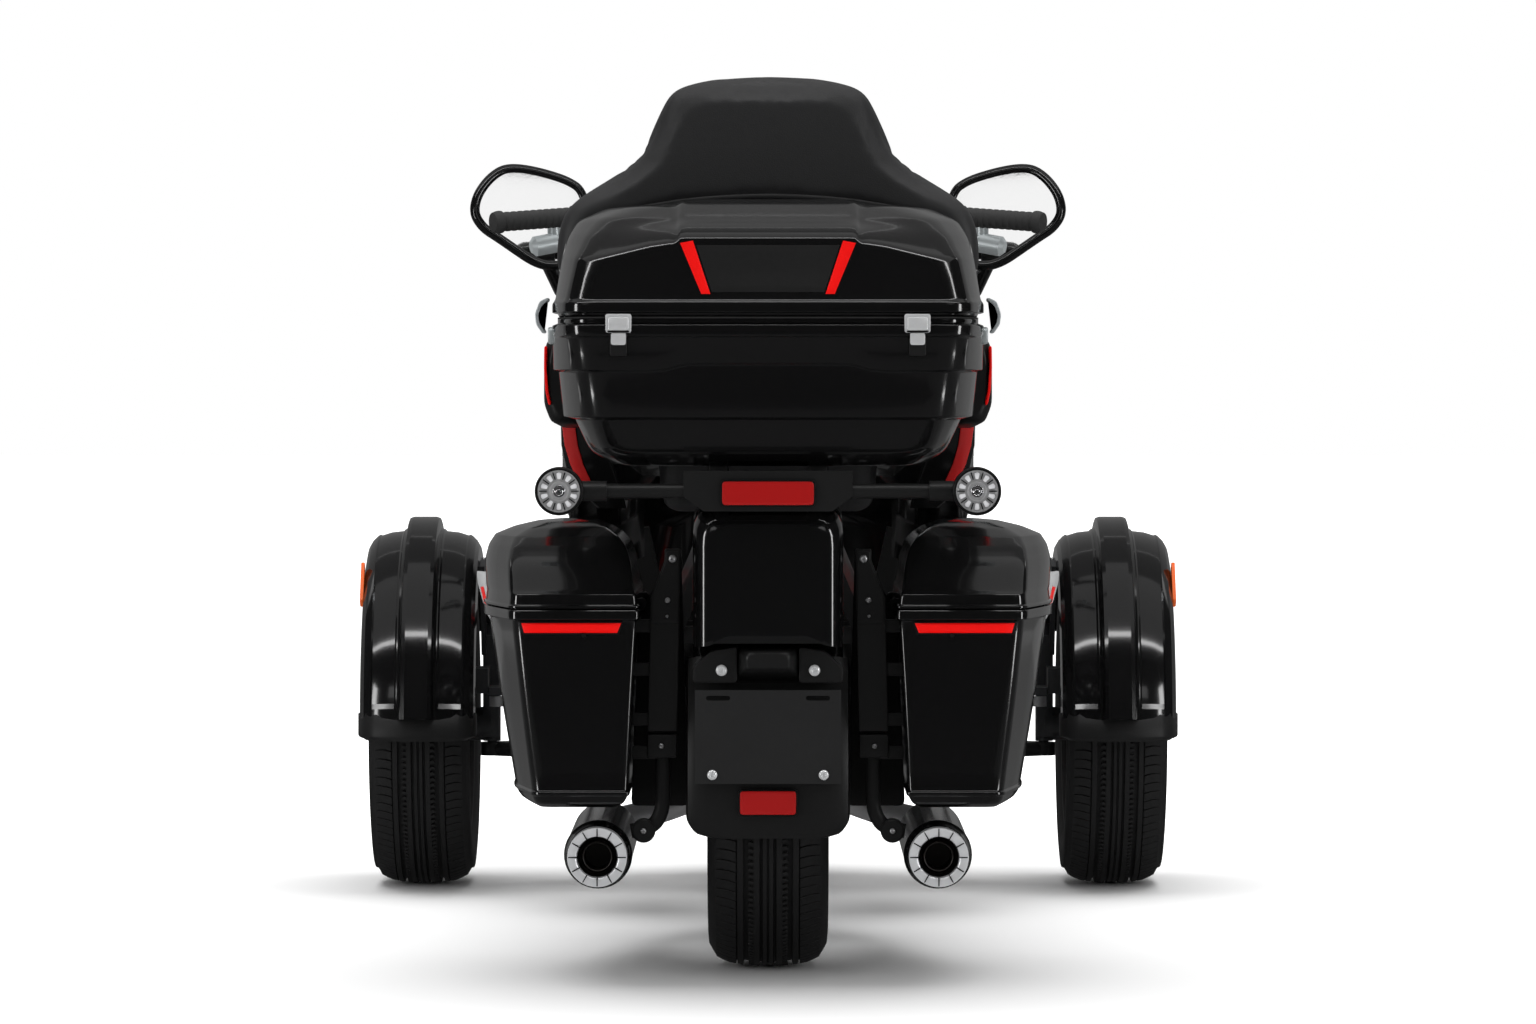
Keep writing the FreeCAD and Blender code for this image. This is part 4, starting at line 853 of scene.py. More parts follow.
def bolt_head(centre, facing, radius, height=0.004):
    """Domed head with a socket, facing along a direction."""
    profile = bent([(0.0, radius), (height * 0.6, radius), (height, radius * 0.72),
                    (height, radius * 0.45), (height * 0.45, radius * 0.4), (height * 0.4, 0.0001)],
                   0.0006, 2)
    return turned(profile, centre, facing, 20)


@part("Tyres")
def tyres():
    """Carcass with its grooves, and the tread blocks round it"""
    tread = settings("trike_tread")
    for place, centre, radius, _ in WHEELS:
        node, body = f"tyre_{place}", f"wheel_{place}"
        half = half_size(node)
        drawn_half, rim_edge = 0.092, 0.19
        wide = half / drawn_half
        base = radius - tread.depth
        wall = (radius + rim_edge) / 2
        right = [(0.0, radius - 0.0001), (0.0006, radius - 0.0001)]
        # ribs, columns: inner x, outer x, drop at the inner edge, drop at the outer edge
        for x0, x1, drop0, drop1 in ((0.0016, 0.008, 0.0, 0.0001), (0.0128, 0.0218, 0.0002, 0.0006),
                                     (0.0376, 0.0468, 0.0018, 0.003)):
            right += [(x0 * wide - 0.0005, base - drop1), (x0 * wide, radius - drop0),
                      (x1 * wide, radius - drop1), (x1 * wide + 0.0005, base - drop1)]
        right += [(0.0484 * wide, base - 0.003), (0.066 * wide, base - 0.007),
                  (half - 0.013, radius - 0.015), (half - 0.006, radius - 0.0265),
                  (half - 0.0015, wall + 0.02), (half, wall + 0.004), (half - 0.001, wall - 0.006),
                  (half - 0.0005, wall - 0.01), (half - 0.004, wall - 0.022),
                  (half - 0.01, wall - 0.034), (half - 0.012, 0.203), (half - 0.009, 0.199),
                  (half - 0.01, 0.192), (half - 0.02, 0.19)]
        profile = [(-x, r) for x, r in reversed(right[1:])] + right
        profile = eased(profile, 0.0008, 1)
        carcass = turned(profile, centre, steps=96, closed=True)
        piece(node + "_carcass", [carcass], "tyre_rubber", (node,), body)
        # rows of blocks, columns: name, count, inner x, outer x, drops there, skew, groove share
        for row, count, x0, x1, drop0, drop1, skew, gap in (
                ("shoulder", tread.pitches, 0.0488 * wide, half - 0.0128, 0.0034, 0.0146, 0.3,
                 tread.gap),
                ("teeth", tread.teeth, 0.0216 * wide, 0.03 * wide, 0.0007, 0.0012, 0.45, 0.42)):
            pitch = 2 * math.pi * radius / count
            rings = []
            for share in (0.0, 0.34, 0.67, 1.0) if row == "shoulder" else (0.0, 0.7, 1.0):
                x = x0 + (x1 - x0) * share
                top = radius - drop0 - (drop1 - drop0) * share ** 1.6
                shift = pitch * skew * (share - 0.5) ** 2 * 2
                reach = pitch * (1 - gap) / 2 * (1.0 if row == "shoulder" else 1 - 0.35 * share)
                low = top - tread.depth
                rings.append([(x, low, shift - reach), (x, top - 0.0006, shift - reach),
                              (x, top, shift - reach + 0.0006), (x, top, shift + reach - 0.0006),
                              (x, top - 0.0006, shift + reach), (x, low, shift + reach)])
            block_shape = loft(rings)
            item = joined([block_shape, placed(mirrored(block_shape), Matrix.Rotation(
                math.pi * 0.8 / count, 4, "X"))])
            ring_copies(f"{node}_{row}", item, count, centre, (1, 0, 0), "tyre_rubber", body)


@part("Wheels")
def wheels():
    """Cast wheels with their discs, wheel bolts and caps"""
    bolt_count, hole_count = 5, 24
    for place, centre, _, side in WHEELS:
        node, body = f"rim_{place}", f"wheel_{place}"
        softened(f"{body}_casting", node, "wheel_paint", 0.002, body)
        half = half_size(node)
        axis = (side, 0, 0)
        face = centre + Vector((side * (half - 0.01), 0, 0))
        bolt = sided(bolt_head((0, 0.031, 0), (1, 0, 0), 0.007, 0.009), side)
        ring_copies(f"{body}_bolts", bolt, bolt_count, face, (1, 0, 0), "bare_steel", body)
        cap = turned(bent([(0.0, 0.022), (0.006, 0.022), (0.009, 0.018), (0.01, 0.0001)], 0.002, 2),
                     face, axis, 32)
        piece(f"{body}_cap", [cap], "satin_plastic", body=body)
        inner = centre + Vector((-side * (half - 0.012), 0, 0))
        disc = turned([(-0.0005, 0.128), (-0.0005, 0.075), (0.0055, 0.075), (0.0055, 0.128),
                       (0.005, 0.1355), (0.0, 0.1355)], inner, axis, 64, closed=True)
        piece(f"{body}_disc", [disc], "bare_steel", body=body)
        # dark bars in the disc's drilled holes: painted shade inside the holes
        holes = joined([bar((-0.0008, y, z), (0.0058, y, z), 0.0035, 0.0002, 10)
                        for y, z in ((0.118, 0.0), (0.099, 0.008))])
        ring_copies(f"{body}_disc_holes", sided(holes, side), hole_count, inner, (1, 0, 0),
                    "dark_recess", body)


@part("Front fenders")
def fenders():
    """Gloss shells with a raised rib and sunk panels, matt lower flares, amber reflectors"""
    low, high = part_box("fender_right")
    half = (high.x - low.x) / 2
    top = high.z - FRONT_AXLE.z
    crown = top - 0.022
    skin = 0.005
    wall = crown - 0.058
    sink = 0.0032
    # columns: x from the wheel's middle, radius, how much of the panel's sink it takes
    right = [(0.0, top, 0), (0.02, top, 0), (0.0262, top - 0.0022, 0), (0.0278, top - 0.007, 0),
             (0.03, crown + 0.003, 0), (0.0335, crown, 0), (0.0355, crown - 0.0002, 0.1),
             (0.0385, crown - 0.0006, 1), (0.06, crown - 0.003, 1), (0.0775, crown - 0.0085, 1),
             (0.0805, crown - 0.0098, 0.1), (0.085, crown - 0.013, 0), (0.0925, crown - 0.0205, 0),
             (0.0985, crown - 0.031, 0), (half - 0.0004, crown - 0.043, 0), (half, wall, 0)]
    inside = [(half - skin, wall, 0), (half - skin, crown - 0.045, 0),
              (0.088, crown - 0.022, 0), (0.06, crown - 0.01, 0), (0.028, crown - 0.006, 0),
              (0.0, crown - 0.006, 0)]
    ring = right + inside
    ring = ring + [(-x, r, s) for x, r, s in reversed(ring[1:-1])]

    def panelled(i, x, r, degrees):
        window = step(58, 64, degrees) * (1 - step(171.5, 172.8, degrees))
        return x, r - sink * ring[i][2] * window

    shell = turned([(x, r) for x, r, _ in ring], FRONT_AXLE, steps=96, start=28.0, sweep=148.0,
                   closed=True, bend=panelled)
    edge = crown - 0.004
    flare_ring = [(0.0, edge), (0.07, edge - 0.004), (0.088, edge - 0.013), (half, edge - 0.036),
                  (half + 0.003, wall), (half - skin, wall), (0.084, edge - 0.02),
                  (0.066, edge - 0.012), (0.0, edge - 0.008)]
    flare_ring = flare_ring + [(-x, r) for x, r in flare_ring[-2:0:-1]]

    def flared(i, x, r, degrees):
        t = (degrees - 173.6) / 8.6
        out = 0.012 * math.sin(min(1.0, t * 1.1) * math.pi / 2) if r > wall + 0.001 else 0.0
        narrow = 1 - 0.12 * step(0.86, 1.0, t)
        return x * narrow, r + out

    flare = turned(flare_ring, FRONT_AXLE, steps=24, start=173.6, sweep=8.6, closed=True,
                   bend=flared)
    centre = middle("side_reflector_right")
    lens = plate(rectangle(-0.011, 0.011, -0.042, 0.042, 0.005), "YZ", -0.002, 0.0045, 0.0015)
    lens = placed(lens, Matrix.Translation((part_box("side_reflector_right")[0].x, *centre.yz))
                  @ Matrix.Rotation(math.radians(-36), 4, "X"))
    for side, hand in SIDES:
        body = f"knuckle_{hand}"
        piece(f"fender_{hand}_shell", [sided(shell, side)], "gloss_paint", (f"fender_{hand}",),
              body, sharp=14)
        piece(f"fender_{hand}_flare", [sided(flare, side)], "satin_plastic", body=body)
        piece(f"fender_{hand}_reflector", [sided(lens, side)], "amber_lens",
              (f"side_reflector_{hand}",), body)


@part("Front corners")
def front_corners():
    """Knuckles, control arms, steering linkage, and the shock absorbers with their springs"""
    for _, hand in SIDES:
        softened(f"upright_{hand}", f"knuckle_{hand}", "cast_alloy", 0.002, f"knuckle_{hand}")
    softened("wishbones_lower", "lower_arms", "frame_paint", 0.0015)
    softened("wishbones_upper", "upper_arms", "frame_paint", 0.0015)
    softened("steering_rods", "tie_rods", "bare_steel", 0.001, "tie_rods")
    softened("rack_housing", "steering_rack", "cast_alloy", 0.002)
    low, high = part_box("front_shocks")
    foot = Vector((high.x - 0.015, FRONT_AXLE.y, low.z + 0.015))
    head = Vector((0.2645, FRONT_AXLE.y, high.z - 0.018))
    along = (head - foot).normalized()
    span = (head - foot).length
    parts = [bar(foot, foot + along * span * 0.55, 0.021), bar(foot, head, 0.0085),
             bar(foot - Vector((0, 0.026, 0)), foot + Vector((0, 0.026, 0)), 0.0148, 0.002),
             bar(head - Vector((0, 0.024, 0)), head + Vector((0, 0.024, 0)), 0.0178, 0.002),
             bar(foot + along * span * 0.29, foot + along * span * 0.32, 0.032),
             bar(foot + along * span * 0.89, foot + along * span * 0.92, 0.032)]
    piece("shock_absorbers", [both(joined(parts))], "bare_steel", ("front_shocks",))
    side = along.orthogonal().normalized()
    other = along.cross(side)
    turns, points = 6.5, 120
    helix = []
    for k in range(points + 1):
        a = 2 * math.pi * turns * k / points
        at = foot + along * span * (0.325 + 0.56 * k / points)
        helix.append(at + (side * math.cos(a) + other * math.sin(a)) * 0.027)
    piece("shock_springs", [both(tube(helix, 0.0052, 10))], "red_strip", slot="bright_steel")


@part("Frame")
def frame_parts():
    """Frame, swingarm, straps and foot boards"""
    for node in sorted(name for name in NODES if name.startswith("frame")):
        softened(f"{node}_tubes", node, "frame_paint", 0.003)
    softened("swingarm_casting", "swingarm", "frame_paint", 0.003)
    softened("foot_boards", "footboards", "cast_alloy", 0.003)
    low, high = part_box("bag_brackets")
    face, top = low.y + 0.0015, high.z - 0.001
    # their outer corner makes way for the opening lid
    strap = eased([(0.1365, 0.377), (0.1805, 0.377), (0.176, 0.578), (0.155, 0.634),
                   (0.155, top), (0.131, top)], 0.003)
    cover = eased([(0.1345, 0.539), (0.175, 0.539), (0.1735, 0.577), (0.1528, 0.633),
                   (0.1528, top - 0.004), (0.133, top - 0.004)], 0.004)
    parts = [plate(strap, "XZ", face, face + 0.007, 0.0015),
             plate(cover, "XZ", face - 0.0012, face + 0.003, 0.001),
             block((0.137, face - 0.0005, 0.337), (0.181, high.y - 0.004, 0.3725), 0.003)]
    for z in (0.535, 0.47, 0.395, 0.345):
        parts.append(block((0.15, face + 0.006, z - 0.01), (0.204, face + 0.018, z + 0.01), 0.002))
    mid = (low.y + high.y) / 2
    hanger = bent([(0.158, mid, 0.345), (0.158, mid, 0.258), (0.172, mid, 0.232),
                   (0.206, mid, 0.226)], 0.02, 5)
    parts.append(tube(hanger, 0.0115, 12))
    parts.append(bar((0.187, low.y + 0.004, 0.227), (0.187, high.y - 0.004, 0.227), 0.018, 0.003))
    piece("bag_straps", [both(joined(parts))], "satin_plastic", ("bag_brackets",))
    small = settings("trike_small")
    heads = [bolt_head((x, face - 0.001, z), (0, -1, 0), small.bolt * size)
             for x, z, size in ((0.143, 0.636, 0.7), (0.1507, 0.574, 0.5), (0.1515, 0.55, 0.3),
                                (0.16, 0.355, 0.45))]
    heads.append(bolt_head((0.187, low.y + 0.0045, 0.227), (0, -1, 0), small.bolt * 0.5))
    piece("strap_bolts", [both(joined(heads))], "bare_steel")
    # panels that close the gap between the bags and the wheel
    behind = REAR_AXLE.y - 0.15
    panel = eased([(0.12, 0.256), (0.2085, 0.256), (0.2, 0.47), (0.1975, 0.525), (0.1935, 0.54),
                   (0.193, 0.556), (0.178, 0.578), (0.154, 0.634), (0.154, 0.64), (0.132, 0.64)],
                  0.01)
    piece("inner_guards", [both(plate(panel, "XZ", behind - 0.005, behind, 0.0015))],
          "satin_plastic")
    board_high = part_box("footboards")[1]
    rib = block((-0.004, -0.06, 0.0), (0.004, 0.06, 0.004), 0.0012)
    paths = []
    for side in (1, -1):
        x = side * (board_high.x - 0.079)
        paths.append([(x, board_high.y - 0.3, 0.338), (x, board_high.y - 0.012, 0.338)])
    path_copies("foot_board_ribs", rib, paths, 18, (0, 0, 1), "grip_rubber")


@part("Engine")
def engine():
    """Engine block with its finned cylinders and round side covers"""
    low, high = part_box("engine_block")
    mid = (low + high) / 2
    # columns: y, half width, bottom, top
    rows = ((low.y, 0.112, low.z + 0.02, high.z - 0.2), (low.y + 0.02, 0.122, low.z, high.z - 0.18),
            (mid.y, 0.128, low.z, high.z - 0.15), (high.y - 0.02, 0.128, low.z, high.z - 0.16),
            (high.y, 0.11, low.z + 0.02, high.z - 0.19))
    case = stacked((y, rectangle(-half, half, z0, z1, 0.03)) for y, half, z0, z1 in rows)
    covers = []
    for y, z, r in ((mid.y - 0.08, low.z + 0.075, 0.062), (mid.y + 0.09, low.z + 0.07, 0.055)):
        profile = bent([(0.118, r), (0.13, r), (0.1345, r * 0.86), (0.1345, 0.0001)], 0.004, 3)
        covers.append(turned(profile, (0, y, z), (1, 0, 0), 40))
    piece("crankcase", [case, both(joined(covers))], "cast_alloy", ("engine_block",))
    fins = []
    for y0, lean in ((mid.y - 0.085, -0.06), (mid.y + 0.075, 0.06)):
        fins.append([(0, y0, high.z - 0.16), (0, y0 + lean, high.z - 0.006)])
    fin = plate(rectangle(-0.062, 0.062, -0.088, 0.088, 0.02), "YZ", -0.0017, 0.0017, 0.0006)
    path_copies("cylinder_fins", fin, fins, 15, (0, 1, 0), "cast_alloy")
    cores = [bar(a, b, 0.052, 0.003) for a, b in fins]
    piece("cylinder_barrels", cores, "cast_alloy")


@part("Exhaust")
def exhaust():
    """Mufflers with their header pipes, and the slotted chrome tips"""
    low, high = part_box("exhaust_tips")
    radius = (high.z - low.z) / 2
    x, z = high.x - radius, (low.z + high.z) / 2
    can_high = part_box("mufflers")[1]
    back = low.y + 0.034
    can = 0.0515
    front = back + 0.56
    profile = [(back, radius - 0.0004), (back + 0.001, radius + 0.0006),
               (back + 0.024, can - 0.0035), (back + 0.03, can - 0.0005), (back + 0.031, can),
               (back + 0.048, can), (back + 0.049, can - 0.001), (front - 0.06, can - 0.001),
               (front, can - 0.008), (front + 0.07, 0.032), (front + 0.092, 0.026)]
    body = turned(bent(profile, 0.006, 2), (x, 0, z), (0, 1, 0), 48)
    pipe_path = bent([(x, front + 0.08, z), (x, REAR_AXLE.y + 0.42, z),
                      (0.18, REAR_AXLE.y + 0.64, z + 0.004), (0.11, can_high.y - 0.02, z + 0.022)],
                     0.09, 8)
    header = tube(pipe_path, 0.022, 20)
    piece("muffler_cans", [both(body)], "gloss_paint", ("mufflers",))
    piece("header_pipes", [both(header)], "bare_steel")
    # slotted face ring with a turned rim, then the dark throat and the bore's own lip; the ring's
    # white is partly painted reflection
    ring = bent([(low.y + 0.05, radius - 0.0005), (low.y + 0.004, radius - 0.0002),
                 (low.y + 0.0006, radius - 0.0006), (low.y, radius - 0.0016),
                 (low.y + 0.0022, radius - 0.013), (low.y + 0.0045, radius - 0.0142),
                 (low.y + 0.016, radius - 0.0148)], 0.001, 2)
    piece("exhaust_tip_rings", [both(turned(ring, (x, 0, z), (0, 1, 0), 72))], "tip_face",
          ("exhaust_tips",))
    throat = bent([(low.y + 0.015, radius - 0.0142), (low.y + 0.03, radius - 0.0165),
                   (low.y + 0.034, 0.025), (low.y + 0.02, 0.0226), (low.y + 0.019, 0.0214),
                   (low.y + 0.0205, 0.02), (low.y + 0.075, 0.019), (low.y + 0.076, 0.0001)], 0.001,
                  2)
    piece("exhaust_tip_throats", [both(turned(throat, (x, 0, z), (0, 1, 0), 48))], "burnt_steel")
    slots = settings("trike_small").tip_slots
    # near-black blocks in the ring's slots: painted shade inside the slots
    slot = block((-0.00085, low.y - 0.0001, radius - 0.015), (0.00085, low.y + 0.006,
                                                              radius - 0.0016), 0.0003, 1)
    for side, hand in SIDES:
        ring_copies(f"exhaust_tip_{hand}_slots", slot, slots, (side * x, 0, z), (0, 1, 0),
                    "dark_recess")


@part("Tail")
def tail():
    """Rear fender and its cowl, mudguard, plate bracket, tail plate with the signal bars"""
    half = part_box("rear_fender")[1].x
    r_in = REAR_RADIUS + 0.034
    guard = eased([(-half, r_in - 0.026), (-half, r_in + 0.005), (half, r_in + 0.005),
                   (half, r_in - 0.026), (half - 0.005, r_in - 0.026), (half - 0.005, r_in),
                   (0.005 - half, r_in), (0.005 - half, r_in - 0.026)],
                  (0.001, 0.016, 0.016, 0.001, 0.001, 0.012, 0.012, 0.001))
    guard = turned(guard, REAR_AXLE, steps=48, start=62, sweep=84, closed=True)
    # columns: y behind the axle, half width, bottom, top, rounding of the top corners
    rows = ((0.378, 0.082, 0.512, 0.69, 0.04), (0.376, 0.094, 0.508, 0.697, 0.042),
            (0.368, 0.104, 0.506, 0.706, 0.044), (0.345, 0.1115, 0.506, 0.714, 0.044),
            (0.3, half, 0.51, 0.7195, 0.04), (0.12, half, 0.56, 0.7225, 0.03),
            (-0.016, half - 0.012, 0.6, 0.708, 0.03))
    sections = []
    thin = 0.004
    for back, wide, z0, z1, rounding in rows:
        arch = bent([(-wide, z0), (-wide, z1), (wide, z1), (wide, z0)],
                    (0.0, rounding, rounding, 0.0), 5, runs=(0.04, 0.5, 0.96))
        inside = [(x * (1 - thin / wide), z - (thin if z > z0 + 0.01 else 0))
                  for x, z in reversed(arch)]
        sections.append((REAR_AXLE.y - back, arch + inside))
    cowl = stacked(sections, first=False, last=False)
    piece("rear_fender_shell", [guard], "gloss_paint", ("rear_fender",))
    piece("rear_cowl", [cowl], "gloss_paint")
    face = []
    for scale, back in ((1.0, 0.378), (0.92, 0.3795), (0.7, 0.38)):
        wide = 0.082 * scale
        arch = eased([(-wide, 0.512 + 0.004 * (1 - scale) * 10), (-wide, 0.601 + 0.089 * scale),
                      (wide, 0.601 + 0.089 * scale), (wide, 0.512 + 0.004 * (1 - scale) * 10)],
                     (0.002, 0.04 * scale, 0.04 * scale, 0.002), 5)
        face.append((REAR_AXLE.y - back, arch))
    piece("rear_cowl_face", [stacked(face, first=False)], "gloss_paint")

    guard_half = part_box("mudguard")[1].x
    ring = [(0.0, r_in + 0.006), (0.085, r_in + 0.0055), (0.108, r_in + 0.003),
            (guard_half - 0.003, r_in - 0.003), (guard_half, r_in - 0.018),
            (guard_half - 0.004, r_in - 0.018), (0.108, r_in - 0.002), (0.085, r_in),
            (0.0, r_in + 0.0005)]
    ring = ring + [(-x, r) for x, r in ring[-2:0:-1]]

    def rounded_foot(i, x, r, degrees):
        t = max(0.0, (degrees - 188.5) / 5.5)
        return x * (1 - 0.24 * (1 - math.sqrt(max(0.0, 1 - t * t)))), r

    shell = turned(ring, REAR_AXLE, steps=60, start=146, sweep=48, closed=True, bend=rounded_foot)
    piece("mudguard_shell", [shell], "satin_plastic", ("mudguard",))
    # plate lamp housing over the bracket, rows: y behind the axle, half width, bottom, top
    rows = ((0.3795, 0.0305, 0.476, 0.4965), (0.376, 0.0345, 0.473, 0.5),
            (0.352, 0.043, 0.466, 0.5035), (0.318, 0.05, 0.454, 0.505),
            (0.305, 0.052, 0.452, 0.506))
    corners = (0.004, 0.004, 0.012, 0.012)
    lamp = stacked((REAR_AXLE.y - back, rectangle(-wide, wide, z0, z1, corners, 4))
                   for back, wide, z0, z1 in rows)
    wings = []
    for side in (1, -1):
        outline = eased([(side * 0.046, 0.452), (side * 0.112, 0.452), (side * 0.112, 0.476),
                         (side * 0.085, 0.5), (side * 0.046, 0.506)], 0.006)
        wings.append(plate(outline, "XZ", REAR_AXLE.y - 0.352, REAR_AXLE.y - 0.33, 0.002))
    piece("plate_lamp_housing", [lamp] + wings, "satin_plastic")
    softened("plate_bracket_panel", "plate_bracket", "plate_coat", 0.0012)
    plate_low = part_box("plate_bracket")[0]
    small = settings("trike_small")
    heads = [bolt_head((0.0832, plate_low.y + 0.0004, 0.3155), (0, -1, 0), small.bolt * 0.9, 0.005),
             bolt_head((0.0695, REAR_AXLE.y - 0.3525, 0.471), (0, -1, 0), small.bolt, 0.005)]
    # the bolt heads' white is partly painted reflection
    piece("plate_bolts", [both(joined(heads))], "chrome_face")

    softened("tail_bar", "tail_bracket", "satin_plastic", 0.0025)


@part("Rear lamps")
def rear_lamps():
    """Turn signals with their ray pattern, and the red reflectors"""
    low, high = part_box("turn_signals")
    radius = (high.z - low.z) / 2
    x, z = high.x - radius, (low.z + high.z) / 2
    back, front = low.y, high.y
    shell = bent([(0.0, radius - 0.0045), (0.0, radius - 0.001), (0.003, radius),
                  (front - back - 0.022, radius), (front - back - 0.004, radius * 0.66),
                  (front - back, radius * 0.3), (front - back, 0.0001)], 0.004, 3)
    piece("signal_shells", [both(turned(shell, (x, back, z), (0, 1, 0), 48)),
                            both(turned([(0.0, radius - 0.0045), (0.02, radius - 0.006)],
                                        (x, back, z), (0, 1, 0), 48))], "lamp_shell",
          ("turn_signals",))
    bowl = bent([(0.0045, radius - 0.005), (0.0105, radius - 0.0075), (0.0125, radius * 0.46),
                 (0.0095, radius * 0.41), (0.0095, radius * 0.37), (0.011, radius * 0.35),
                 (0.011, 0.0001)], 0.0012, 2)
    piece("signal_bowls", [both(turned(bowl, (x, back, z), (0, 1, 0), 56))], "lamp_grey")
    rays = settings("trike_small").lamp_rays
    # one lit segment: a rounded wedge, wider at its outer end
    wedge = eased([(-0.0024, radius * 0.5), (0.0024, radius * 0.5), (0.004, radius * 0.74),
                   (0.0, radius * 0.79), (-0.004, radius * 0.74)], 0.0014, 3)
    ray = plate(wedge, "XZ", 0.008, 0.013, 0.0008)
    rib = placed(block((-0.0008, 0.0085, radius * 0.5), (0.0008, 0.012, radius * 0.86), 0.0003, 1),
                 Matrix.Rotation(math.pi / rays, 4, "Y"))
    for side, hand in SIDES:
        lamp = (side * x, back, z)
        ring_copies(f"signal_{hand}_rays", ray, rays, lamp, (0, 1, 0), "lamp_white")
        ring_copies(f"signal_{hand}_ribs", rib, rays, lamp, (0, 1, 0), "lamp_shell")
    hub = bent([(0.0072, 0.0001), (0.0066, 0.0025), (0.0082, 0.0032), (0.0082, 0.0055),
                (0.007, 0.0062), (0.007, 0.0088), (0.0095, 0.0098), (0.011, 0.0098)], 0.0006, 2)
    piece("signal_hubs", [both(turned(hub, (x, back, z), (0, 1, 0), 32))], "lamp_mirror")

    tail_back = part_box("tail_bracket")[0].y
    top = plate(rectangle(-0.068, 0.068, 0.7195, 0.7545, 0.006), "XZ", tail_back - 0.0065,
                tail_back + 0.004, 0.002)
    lower_y = REAR_AXLE.y - REAR_RADIUS - 0.054
    lower = plate(rectangle(-0.042, 0.042, 0.255, 0.2905, 0.005), "XZ", lower_y, lower_y + 0.022,
                  0.002)
    piece("red_reflectors", [top, lower], "red_lens", ("rear_reflectors",))
    frames = [plate(rectangle(-u, u, v0, v1, 0.007), "XZ", y, y + 0.01, 0.001) for u, v0, v1,
              y in ((0.0705, 0.717, 0.757, tail_back - 0.0035),
                    (0.0445, 0.2525, 0.293, lower_y + 0.003))]
    piece("reflector_frames", frames, "lamp_shell")


# ------------ luggage
# columns: height over the seam, half width at the rear, at the side, inset of the rear face,
# curve of the profile there
CASE_BASE_ROWS = (
    (-0.2197, 0.15, 0.18, 0.14, 0.0), (-0.2197, 0.204, 0.236, 0.086, 0.014),
    (-0.198, 0.24, 0.27, 0.05, 0.016), (-0.151, 0.256, 0.292, 0.033, 0.0015),
    (-0.1462, 0.268, 0.31, 0.0215, 0.0012), (-0.08, 0.277, 0.317, 0.0165, 0.0015),
    (-0.0762, 0.2855, 0.325, 0.0115, 0.0012), (-0.029, 0.2915, 0.3255, 0.0065, 0.002),
    (-0.026, 0.2965, 0.326, 0.001, 0.0015), (-0.01, 0.298, 0.326, 0.0, 0.0025),
    (-0.007, 0.29, 0.318, 0.009, 0.001), (-0.0005, 0.29, 0.318, 0.009, 0.0))
CASE_LID_ROWS = (
    (0.003, 0.288, 0.316, 0.011, 0.0), (0.008, 0.29, 0.318, 0.009, 0.001),
    (0.0092, 0.298, 0.326, 0.0, 0.0012), (0.0225, 0.298, 0.326, 0.0, 0.003),
    (0.027, 0.295, 0.323, 0.004, 0.002), (0.031, 0.293, 0.3212, 0.0052, 0.004),
    (0.089, 0.28, 0.3125, 0.028, 0.007), (0.124, 0.264, 0.306, 0.086, 0.02),
    (0.15, 0.244, 0.29, 0.14, 0.016), (0.169, 0.2, 0.25, 0.2, 0.02),
    (0.1755, 0.13, 0.18, 0.26, 0.02), (0.176, 0.06, 0.1, 0.31, 0.0))
CASE_STATIONS = (0.0, 0.035, 0.07, 0.1, 0.12, 0.129, 0.134, 0.139, 0.15, 0.175)


def case_half(rear_half, side_half, inset, front):
    """Right half of the case's plan, from the middle of its rear to the middle of its front."""
    y0 = CASE_BACK + inset
    corner = max(0.02, min(0.17, rear_half * 0.6))
    path = [(0, y0), (rear_half, y0), (side_half, y0 + corner), (side_half, front - 0.06),
            (side_half - 0.06, front), (0, front)]
    points = bent(path, (0, 0.04, 0.1, 0.03, 0.02, 0), 5)
    first = points[1][0]
    stations = [(min(x, first * 0.97), y0) for x in CASE_STATIONS[1:]]
    return [points[0]] + stations + points[1:]


def case_rings(rows, front, tweak=None):
    profile = bent([row[:4] for row in rows], [row[4] for row in rows], 3, runs=(0.5,))
    rings = []
    for height, rear_half, side_half, inset in profile:
        ring = symmetric(case_half(rear_half, side_half, inset, front))
        points = [(x, y, CASE_SEAM + height) for x, y in ring]
        if tweak:
            points = [tweak(*p) for p in points]
        rings.append(points)
    return rings


def ledge_wave(x, y, z):
    """The case's ledges climb a little towards its middle."""
    height = z - CASE_SEAM
    rise = 0.0105 * (1 - step(0.115, 0.165, abs(x))) * step(-0.125, -0.085, height)
    near = 1 - step(-0.05, -0.03, height)
    return x, y, z + rise * near * (1 - step(CASE_BACK + 0.05, CASE_BACK + 0.09, y))


def lid_crown(x, y, z):
    """The lid's crease climbs to its middle, which stands proud."""
    case = settings("trike_case")
    height = z - CASE_SEAM
    rear = 1 - step(CASE_BACK + 0.16, CASE_BACK + 0.26, y)
    climb = step(0.035, 0.089, height) * (1 - step(0.089, 0.155, height))
    middle_part = 1 - step(case.centre_half - 0.005, case.centre_half + 0.005, abs(x))
    z += case.crease_rise * climb * (1 - step(0.14, 0.272, abs(x))) * rear
    proud = case.centre_raise * middle_part * step(0.08, 0.095, height)
    return x, y - proud * rear * 0.8, z + proud


